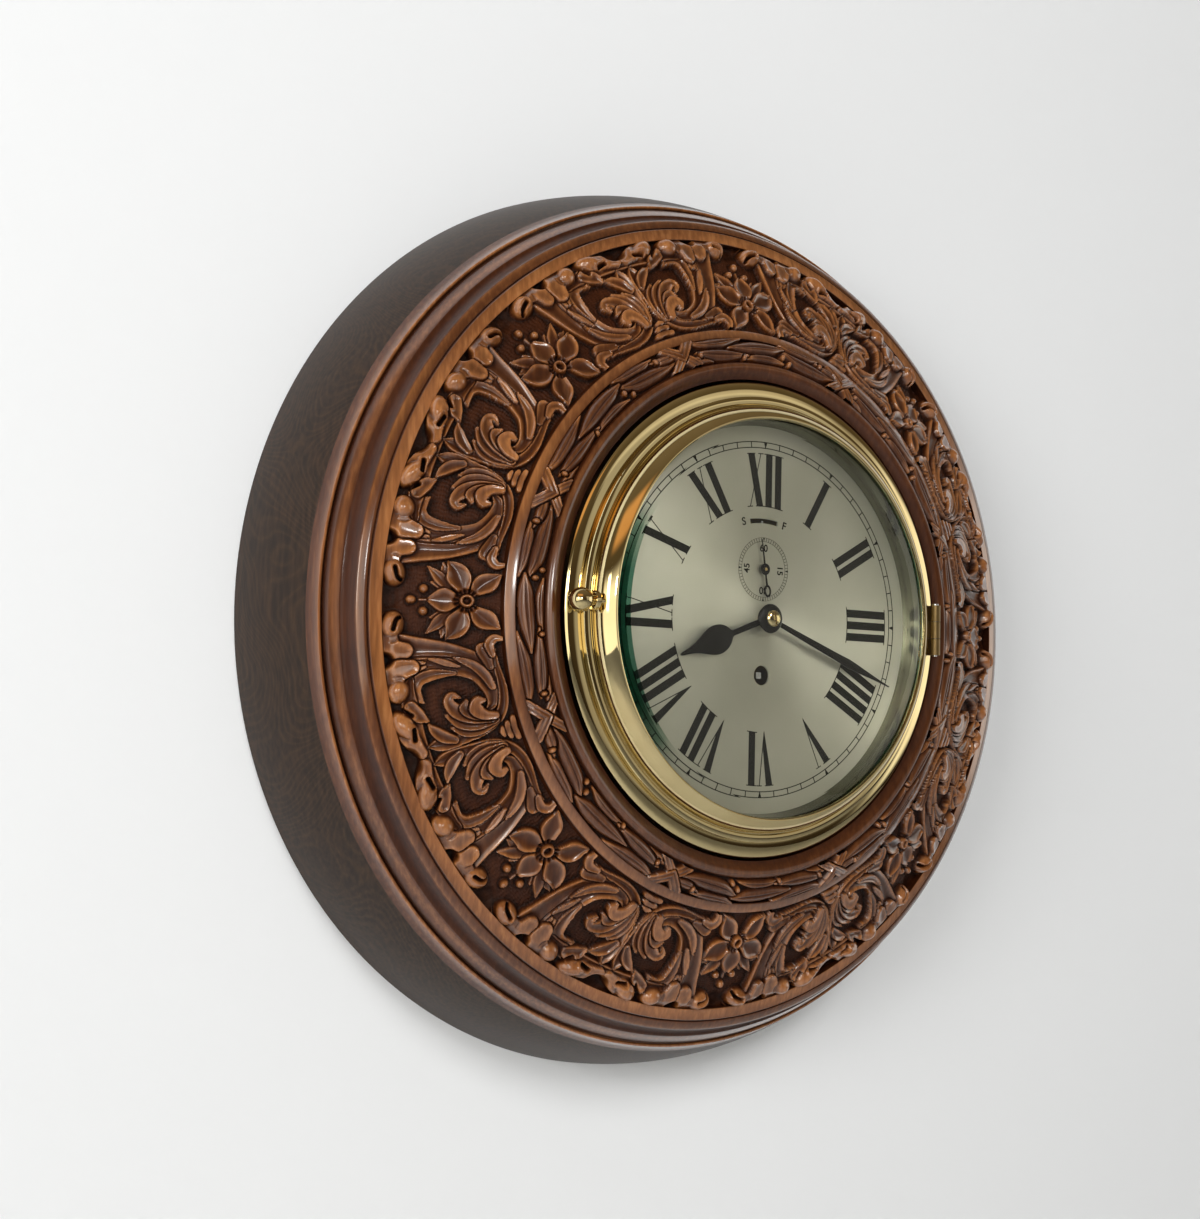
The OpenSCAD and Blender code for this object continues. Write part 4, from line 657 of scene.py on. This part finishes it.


# A grid over one repeat, raised along its cone's own normal, with a depth attribute for the stain and painted shade
def carvedSheet(name, relief, size, turnDegrees):
    angle, radius, height, stainAndShade = relief
    run, climb = size["outerRadius"] - size["innerRadius"], size["innerZ"] - size["outerZ"]
    share, slope = (size["outerRadius"] - radius) / run, math.atan2(climb, run)
    r = radius + height * math.sin(slope)
    baseZ = size["outerZ"] + size["ground"] + climb * share + size["crown"] * 4 * share * (1 - share)
    z = baseZ + height * math.cos(slope)
    theta = np.radians(angle + turnDegrees)
    points = np.stack([r * np.sin(theta), -z, r * np.cos(theta)], -1).reshape(-1, 3) * mm
    rows, columns = angle.shape
    i = np.arange(rows - 1)[:, None] * columns + np.arange(columns - 1)[None, :]
    faces = np.stack([i, i + columns, i + columns + 1, i + 1], -1).reshape(-1, 4)
    piece = addMesh(name, points.tolist(), [], faces.tolist())
    addAttribute(piece.data, "cutDepth", stainAndShade.reshape(-1))
    piece.data.polygons.foreach_set("use_smooth", [True] * len(faces))
    return piece


# Height and stain over one repeat: the stain is darker the lower a point lies and where it lies below what is round it,
# painted shade in the cuts as well as stain
def oneRepeat(heightAt, size):
    detail = 1
    across, along = int(size["across"] * detail), int(size["along"] * detail)
    angle, radius = np.meshgrid(np.linspace(-180 / repeats, 180 / repeats, across + 1),
                                np.linspace(size["outerRadius"], size["innerRadius"], along + 1))
    height = heightAt(angle, radius)
    blurred = height.copy()
    for step in (1, 2, 4, 6):
        padded = np.pad(blurred, step, mode="edge")
        spread = (padded[step:-step, :-2 * step] + padded[step:-step, 2 * step:] + padded[:-2 * step, step:-step]
                  + padded[2 * step:, step:-step]) / 4
        blurred = 0.4 * blurred + 0.6 * spread
    return angle, radius, height, np.clip(0.3 + height / 14 + (height - blurred) * 0.3, 0, 1)


def carvedPanels(name, heightAt, size):
    relief = oneRepeat(heightAt, size)
    for k in range(repeats):
        sheet = carvedSheet(name + str(k + 1), relief, size, 360 / repeats * k)
        settle(sheet, "case", "carved_wood", "carvedOak")


carvedPanels("carvedPanel", reliefAt, carving)
print("carved panels made")

# Laurel band: three rows of overlapping pointed leaves with berries, tied by crossed ribbons
laurel = {"outerRadius": 149.6, "innerRadius": 136.4, "outerZ": 105.4, "innerZ": 111.2, "ground": 0, "across": 280,
          "along": 44, "arc": 2.5, "crown": 1.6, "leafRise": 2.6}
leaves = [[(-22, 139.5, 1.5), (-18, 139.2, 2.4), (-15, 138.2, 1.6)],
          [(-19, 148.6, 1), (-15.5, 147, 2.4), (-10.5, 147.2, 2.6), (-5.4, 149, 0.4)],
          [(-5.6, 138, 0.8), (-2.5, 138.7, 2.3), (1.5, 138.7, 2.4), (5, 137.8, 0.6)],
          [(5, 149, 0.6), (8, 147.6, 2.2), (12, 147.2, 2.5), (15.8, 147.9, 0.5)],
          [(-18.6, 143.2, 0.7), (-15.6, 141.3, 2.9), (-11, 139.9, 3.3), (-5, 139.2, 0.8)],
          [(5.4, 144.6, 1.4), (8.6, 142, 3.5), (13.2, 141, 3.7), (17.2, 140.9, 2.4), (20, 141.6, 0.5)],
          [(14.6, 146.4, 0.4), (17.2, 145, 2.4), (20.2, 145.2, 2.3), (22.4, 147, 0.8)],
          [(-9.8, 143.9, 0.4), (-6.6, 144, 2.5), (-2, 144.8, 3.7), (2.4, 145.6, 3.1), (5.6, 146.6, 0.8)]]


def laurelRelief(angle, radius):
    height = np.full(angle.shape, -1.2)
    scale = laurel["arc"]
    x, y = angle * scale, radius
    for leaf in leaves:
        line = splineThrough([(deg * scale, r, w) for deg, r, w in leaf], 7)
        dist, width = nearestOn(line, x, y)[:2]
        q = dist / np.maximum(width, 0.05)
        body = laurel["leafRise"] * (0.3 + 0.7 * np.clip(1 - q ** 2.4, 0, 1)) - 0.7 * np.exp(-(q / 0.13) ** 2)
        outside = (dist - width) / 0.75
        ringed = np.minimum(height, -1.1) + (height - np.minimum(height, -1.1)) * ease(0, 1, outside)
        height = np.where(q < 1, np.maximum(body, np.minimum(height, 0.6)), np.where(outside < 1, ringed, height))
    for deg, r in ((-17.9, 141.4), (-6.2, 137.9), (5, 141.8), (6.7, 138.7), (16, 145.9)):
        q = np.hypot((angle - deg) * scale, (radius - r) * 0.8) / 1.5
        height = np.where(q < 1.3, np.minimum(height, -1.0), height)
        height = np.where(q < 1, 3.3 * np.sqrt(np.clip(1 - q * q, 0, 1)), height)
    a = np.abs(angle)
    for inner, outer in ((19.1, 25.9), (25.9, 19.1)):
        line = np.array([(inner * scale, 136.0, 2.3), (outer * scale, 150.0, 2.3)])
        dist, width = nearestOn(line, a * scale, radius)[:2]
        outside = (dist - width) / 0.7
        height = np.where((outside > 0) & (outside < 1), np.minimum(height, -1.2), height)
        height = np.where(outside <= 0, 2.9 + 0.3 * np.cos(dist * 2.8), height)
    return height


carvedPanels("laurelPanel", laurelRelief, laurel)
print("laurel band made")

# Brass bowl with its flat flange
bowlLine = [(98.6, 108.7), (98.6, 110.6), (106.5, 110.6), (106.5, 115), (117.5, 115), (119.5, 114.9), (121.5, 114.74),
            (123.2, 114.5), (124.4, 114.1), (125.1, 113.7), (125.5, 113.2), (125.3, 113), (108.6, 113), (108.6, 108.7),
            (98.6, 108.7)]
bowl = turned("bowl", bowlLine, 480, 25)
settle(bowl, "case", "polished_brass", "brightBrass", "brass_bowl")

# Bezel: foot, flat ridge, dark step, rolled slope up to the lip round the glass
bezelSlope = arcBetween((112.4, 118.4), (105.9, 128.5), 1.5, 22)
bezelFoot = [(106.9, 115.3), (109.6, 115.3), (110.2, 116.7), (114.6, 116.7), (115.2, 115.3), (117.1, 115.3),
             (117.4, 115.6), (117.4, 117.9), (117.2, 118.3), (116.8, 118.5), (114.2, 118.7), (113.7, 118.6),
             (113.5, 118.1), (113, 117.9), (112.6, 118)]
bezelLip = [(105.5, 128.7), (104.9, 128.7), (104.5, 128.5), (104.3, 128.1), (104.2, 127), (105.9, 127), (105.9, 123.2),
            (106.9, 123.2), (106.9, 115.3)]
bezel = turned("bezel", bezelFoot + bezelSlope + bezelLip, 480, 25)
settle(bezel, "door", "polished_brass", "brightBrass", "bezel_ring")

# The glass is bevelled outside bevelFrom. The bevel has a painted dark green reflection at the left, round deepAt
# degrees below level, which fades out at fadeHalf degrees from there
pane = {"edge": 105.55, "bevelFrom": 96.6, "deepAt": 8, "deepHalf": 18, "fadeHalf": 44}
glassLine = [(0, 123.3), (96.3, 123.3), (96.7, 123.3), (105.5, 123.3), (105.6, 123.4), (105.6, 126.5), (105.5, 126.6),
             (96.7, 128.28), (96.4, 128.3), (0, 128.3)]
glass = turned("glass", glassLine, 400, 12)
settle(glass, "door", "glass", "plateGlass", "bevelled_glass")
glass.data.materials.append(finish["glassEdge"])
for face in glass.data.polygons:
    if math.hypot(face.center.x, face.center.z) > pane["edge"] * mm:
        face.material_index = 1
glassX, glassZ = vertexPlaces(glass).T[[0, 2]]
aboveLevel = np.degrees(np.arctan2(glassZ, -glassX))
# share of the painted green reflection on the bevel
deep = ease(pane["fadeHalf"], pane["deepHalf"], np.abs(aboveLevel + pane["deepAt"]))
addAttribute(glass.data, "bevelGreenReflection", deep * (np.hypot(glassX, glassZ) > pane["bevelFrom"] * mm))

reflectorLine = [(101.6, 112.4), (101.75, 112.35), (102.5, 112.4), (102.6, 113), (104.7, 122.2), (105.3, 122.3),
                 (105.3, 123.2), (103.8, 123.2), (103.4, 122.2), (101.8, 113.2), (101.6, 112.4)]
reflector = turned("reflector", reflectorLine, 400, 25)
settle(reflector, "door", "silvered_brass", "reflectorSilver", "reflector_ring")
print("brass made")

# Dial markings in black wax
dial = {"front": 112.0, "wax": 0.1, "numeralOuter": 88.0, "numeralInner": 59.6, "thick": 4.3, "thin": 0.5,
        "trackOuter": 94.2, "trackInner": 90.6, "trackLine": 0.5, "secondsUp": 26.3, "secondsTrack": 16.9,
        "figureWeight": 0.1, "advance": {"I": 6.4, "V": 11.6, "X": 11.8}}


def flatWax(name, polygons):
    points, faces = [], []
    for polygon in polygons:
        first = len(points)
        points += [(x * mm, -(dial["front"] + dial["wax"]) * mm, y * mm) for x, y in polygon]
        faces.append(list(range(first, first + len(polygon))))
    piece = addMesh(name, points, [], faces)
    thicken(bpy.ops.mesh.normals_make_consistent, -dial["wax"] * 0.9)
    return piece


def ringPieces(inner, outer, count, centre=(0, 0)):
    out = []
    for i in range(count):
        a, b = (math.radians(360 * (i + k) / count) for k in (0, 1))
        out.append([(centre[0] + r * math.sin(t), centre[1] + r * math.cos(t))
                    for r, t in ((inner, a), (outer, a), (outer, b), (inner, b))])
    return out


# One numeral, feet inward: its serifs bend with the circle
def numeralPieces(word, hour):
    inner, outer, thick, thin = dial["numeralInner"], dial["numeralOuter"], dial["thick"], dial["thin"]
    advance = dial["advance"]
    x, out = -sum(advance[c] for c in word) / 2, []

    def place(points):
        return turnedBy([(px, math.sqrt(max(py * py - px * px, 0))) for px, py in points], hour * 30)

    def bar(x0, x1, w):
        steps = [(x0 + (x1 - x0) * t, inner + (outer - inner) * t) for t in (0, 0.5, 1)]
        return place([(px - w / 2, py) for px, py in steps] + [(px + w / 2, py) for px, py in reversed(steps)])

    def serif(centreX, width, radius):
        half = width / 2
        xs = np.linspace(centreX - half, centreX + half, 7)
        return place([(v, radius - thin / 2) for v in xs] + [(v, radius + thin / 2) for v in xs[::-1]])

    for c in word:
        mid = x + advance[c] / 2
        if c == "I":
            out += [bar(mid, mid, thick), serif(mid, advance[c] + 0.4, inner + thin / 2),
                    serif(mid, advance[c] + 0.4, outer - thin / 2)]
        if c == "X":
            reach = 3.3
            out += [bar(mid + reach, mid - reach, thick), bar(mid - reach, mid + reach, thin),
                    serif(mid + reach, 5.6, inner + thin / 2), serif(mid - reach, 5.6, outer - thin / 2),
                    serif(mid - reach, 3.6, inner + thin / 2), serif(mid + reach, 3.6, outer - thin / 2)]
        if c == "V":
            left, right = mid - 3.2, mid + 3.6
            out += [place([(left - thick / 2, outer), (left + thick / 2, outer), (mid + 1.6, inner + 8),
                           (mid + 0.9, inner - 0.8)]),
                    bar(mid + 0.9, right, thin), serif(left, 5.8, outer - thin / 2),
                    serif(right, 3.6, outer - thin / 2)]
        x += advance[c]
    return out


# Sixty marks between low and high, with a wedge at each step of them that points to the centre
def minuteMarks(low, high, half, step, wedgeHalf, wedgeLow, centre):
    out = []
    for i in range(60):
        out.append(turnedBy([(-half, low), (half, low), (half, high), (-half, high)], i * 6, centre))
        if i % step == 0:
            out.append(turnedBy([(-wedgeHalf, high), (wedgeHalf, high), (0, wedgeLow)], i * 6, centre))
    return out


wax = []
for hour, word in enumerate(["I", "II", "III", "IIII", "V", "VI", "VII", "VIII", "IX", "X", "XI", "XII"], 1):
    wax += numeralPieces(word, hour)
inner, outer, line = dial["trackInner"], dial["trackOuter"], dial["trackLine"]
wax += ringPieces(outer - line, outer, 180) + ringPieces(inner, inner + line, 180)
wax += minuteMarks(inner, outer, 0.27, 5, 1.15, inner - 0.2, (0, 0))
up = (0, dial["secondsUp"])
outer = dial["secondsTrack"]
inner = outer - 2.2
wax += ringPieces(outer - 0.14, outer, 90, up) + ringPieces(inner, inner + 0.15, 90, up)
wax += minuteMarks(inner, outer, 0.11, 15, 0.62, inner, up)
markings = flatWax("dialMarkings", wax)


# Small figures and letters: text made a mesh, set flat on the dial
def figure(body, size, at, clockwise):
    deselectAll()
    bpy.ops.object.text_add()
    made = bpy.context.object
    made.data.body = body
    made.data.align_x, made.data.align_y = "CENTER", "CENTER"
    made.data.size = size * mm
    made.data.extrude = dial["wax"] * 0.5 * mm
    made.data.offset = dial["figureWeight"] * mm
    made.rotation_euler = (math.radians(90), math.radians(clockwise), 0)
    made.location = (at[0] * mm, -(dial["front"] + dial["wax"] * 0.5) * mm, at[1] * mm)
    bpy.ops.object.convert(target="MESH")
    bpy.ops.object.transform_apply(location=True, rotation=True, scale=True)
    return bpy.context.object


figures = [figure("60", 5.4, (0, up[1] + 11.1), 0), figure("15", 5.2, (11.2, up[1]), 90),
           figure("30", 5.4, (0, up[1] - 11.1), 180), figure("45", 5.2, (-11.2, up[1]), 270),
           figure("S", 5.8, (-13.8, 50.6), 345), figure("F", 5.8, (13.6, 50.2), 15)]
makeActive(markings)
for piece in figures:
    piece.select_set(True)
bpy.ops.object.join()
settle(markings, "case", "black_wax", "blackWax", "dial_markings")
print("dial markings made")

# Hands near 8:18, of flat steel enamelled black; the seconds hand's ring lies tailUp from its centre
hands = {"hour": 8, "minute": 18.5, "second": 58.5, "tailUp": -11.6, "hourZ": (115.5, 116.4),
         "minuteZ": (117.5, 118.3), "secondsZ": (113.4, 113.8)}
hourAngle = hands["hour"] * 30 + hands["minute"] / 2
pear = [(1.6, 6), (1.5, 24.6), (2.2, 25.6), (4.6, 27.6), (6.5, 30.4), (7.5, 33.8), (7.6, 36.6), (6.9, 40),
        (5.3, 43.8), (3.5, 47.8), (2.2, 51.6), (1.4, 55.4), (0.9, 59.2), (0.45, 60.4)]
pearLine = splineThrough([(x, y, 0) for x, y in pear[2:]], 5)[:, :2]
rightSide = [pear[0], pear[1]] + [tuple(p) for p in pearLine]
hub = ovalPoints(6.2, 6.2, 16, 344, 60)
hourOutline = hub[::-1] + [(-x, y) for x, y in rightSide] + rightSide[::-1]
bore = ovalPoints(2.9, 2.9, 0, 360, 48)
hourHand = cutPlate("hourHand", [turnedBy(hourOutline, hourAngle), bore], *hands["hourZ"], 0.3)
settle(hourHand, "hour", "black_enamel", "blackEnamel", "hour_hand")
minuteSide = [(1.25, 4), (1.5, 20), (2.1, 50), (2.45, 60), (2.1, 66), (0.95, 80), (0.28, 92.3)]
minuteHub = ovalPoints(4.6, 4.6, 18, 342, 50)
minuteOutline = minuteHub[::-1] + [(-x, y) for x, y in minuteSide] + minuteSide[::-1]
smallBore = ovalPoints(2.0, 2.0, 0, 360, 40)
minuteHand = cutPlate("minuteHand", [turnedBy(minuteOutline, hands["minute"] * 6), smallBore], *hands["minuteZ"],
                      0.25)
settle(minuteHand, "minute", "black_enamel", "blackEnamel", "minute_hand")

secondsHub = ovalPoints(3.1, 3.1, 9, 171, 24)
tail = ovalPoints(2.3, 3.3, 14, 180, 16, hands["tailUp"])
secondsRight = [(0.18, 16), (0.42, 8)] + secondsHub + [(0.6, -8.3)] + tail
secondsOutline = secondsRight + [(-x, y) for x, y in reversed(secondsRight[:-1])]
tailHole = ovalPoints(1.3, 2.1, 0, 360, 24, hands["tailUp"])
hubHole = ovalPoints(0.95, 0.95, 0, 360, 24)
secondsOutlines = [turnedBy(o, hands["second"] * 6, up) for o in (secondsOutline, tailHole, hubHole)]
secondsHand = cutPlate("secondsHand", secondsOutlines, *hands["secondsZ"], 0.1)
settle(secondsHand, "seconds", "black_enamel", "blackEnamel", "seconds_hand")

# Domed boss on the minute hand, held by a slotted brass screw
dome = [(7.75 * math.cos(t), 118.5 + 2.6 * math.sin(t)) for t in np.linspace(0.12, 1.2, 10)]
boss = turned("boss", [(2, 118.3), (7.6, 118.3), (7.75, 118.5)] + dome + [(2, 121), (2, 118.3)], 96, 40)
settle(boss, "minute", "black_enamel", "blackEnamel", "minute_boss")
slot = {"place": (0, -0.12285, 0), "turn": math.radians(-12), "size": (0.0009, 0.0024, 0.012)}
head = [(4.4 * math.cos(t), 121.05 + 1.9 * math.sin(t)) for t in np.linspace(0.15, math.pi / 2, 9)]
screw = turned("handScrew", [(0, 120.6), (4.3, 120.95), (4.4, 121.05)] + head, 72, 40)
bpy.ops.mesh.primitive_cube_add(size=1, location=slot["place"], rotation=(0, slot["turn"], 0), scale=slot["size"])
cutter = bpy.context.object
groove = screw.modifiers.new("slot", "BOOLEAN")
groove.object, groove.solver = cutter, "EXACT"
makeActive(screw)
bpy.ops.object.modifier_apply(modifier="slot")
bpy.data.objects.remove(cutter)
settle(screw, "minute", "polished_brass", "brightBrass", "hand_screw")
print("hands made")

# Ball knob with a neck and its milled collar, lying along the bezel's left radius
knob = {"up": 2.4, "z": 124.0, "ballAt": 123.3, "radius": 6.0, "milledFrom": 4.6, "toothDegrees": 3.75,
        "toothShare": 0.93}


def lieAlongX(piece):
    makeActive(piece)
    lifted = Matrix.Translation((0, -knob["z"] * mm, knob["up"] * mm))
    piece.matrix_world = lifted @ Matrix.Rotation(math.radians(-90), 4, "Z")
    bpy.ops.object.transform_apply(location=True, rotation=True, scale=True)
    return piece


ballArc = [(knob["radius"] * math.sin(t), knob["ballAt"] - knob["radius"] * math.cos(t))
           for t in np.linspace(0.42, math.pi, 36)]
ball = turned("knob", [(1.4, 108.4), (1.4, 113.6), (2.2, 113.9), (2.2, 116.6), (2.9, 117.1), (2.9, 117.5),
                       (2.45, 117.8)] + ballArc, 96, 40)
collar = turned("knobCollar", [(2.3, 113.9), (4.4, 113.9), (4.85, 114.3), (4.85, 116.5), (4.4, 116.9), (2.3, 116.9),
                               (2.3, 113.9)], 96, 30)
places = vertexPlaces(collar)
milled = np.hypot(places[:, 0], places[:, 2]) > knob["milledFrom"] * mm
toothNumber = np.round(np.degrees(np.arctan2(places[:, 0], places[:, 2])) / knob["toothDegrees"])
tooth = np.where(toothNumber % 2 == 0, 1.0, knob["toothShare"])
places[milled, 0] *= tooth[milled]
places[milled, 2] *= tooth[milled]
collar.data.vertices.foreach_set("co", places.reshape(-1))
settle(lieAlongX(ball), "door", "polished_brass", "brightBrass", "door_knob")
settle(lieAlongX(collar), "door", "polished_brass", "brightBrass", "knob_collar")
print("knob made")

# Solids that already have their shape get their real finishes
nodeFinish = {
    "boardPine": "back_board",
    "plainBrass": "hanger_plate hanger_screws board_screws catch_spring front_plate back_plate platform_plate "
                  "platform_pillars balance_cock centre_wheel minute_wheel hour_wheel third_wheel fourth_wheel "
                  "balance_wheel great_wheel_barrel barrel_cap plate_pillars dial_feet glass_retaining_ring",
    "darkenedHingeBrass": "hinge_fixed_leaf hinge_moving_leaf",
    "brightBrass": "bowl_screws",
    "silveredBrass": "dial_plate",
    "brightSteel": "hinge_pin dial_screws plate_screws slow_fast_index centre_arbor cannon_pinion escape_wheel "
                   "pallet_lever hairspring mainspring winding_arbor ratchet_wheel click click_spring",
}
for key, names in nodeFinish.items():
    for name in names.split():
        paint(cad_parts[name], key)
print("solids finished")
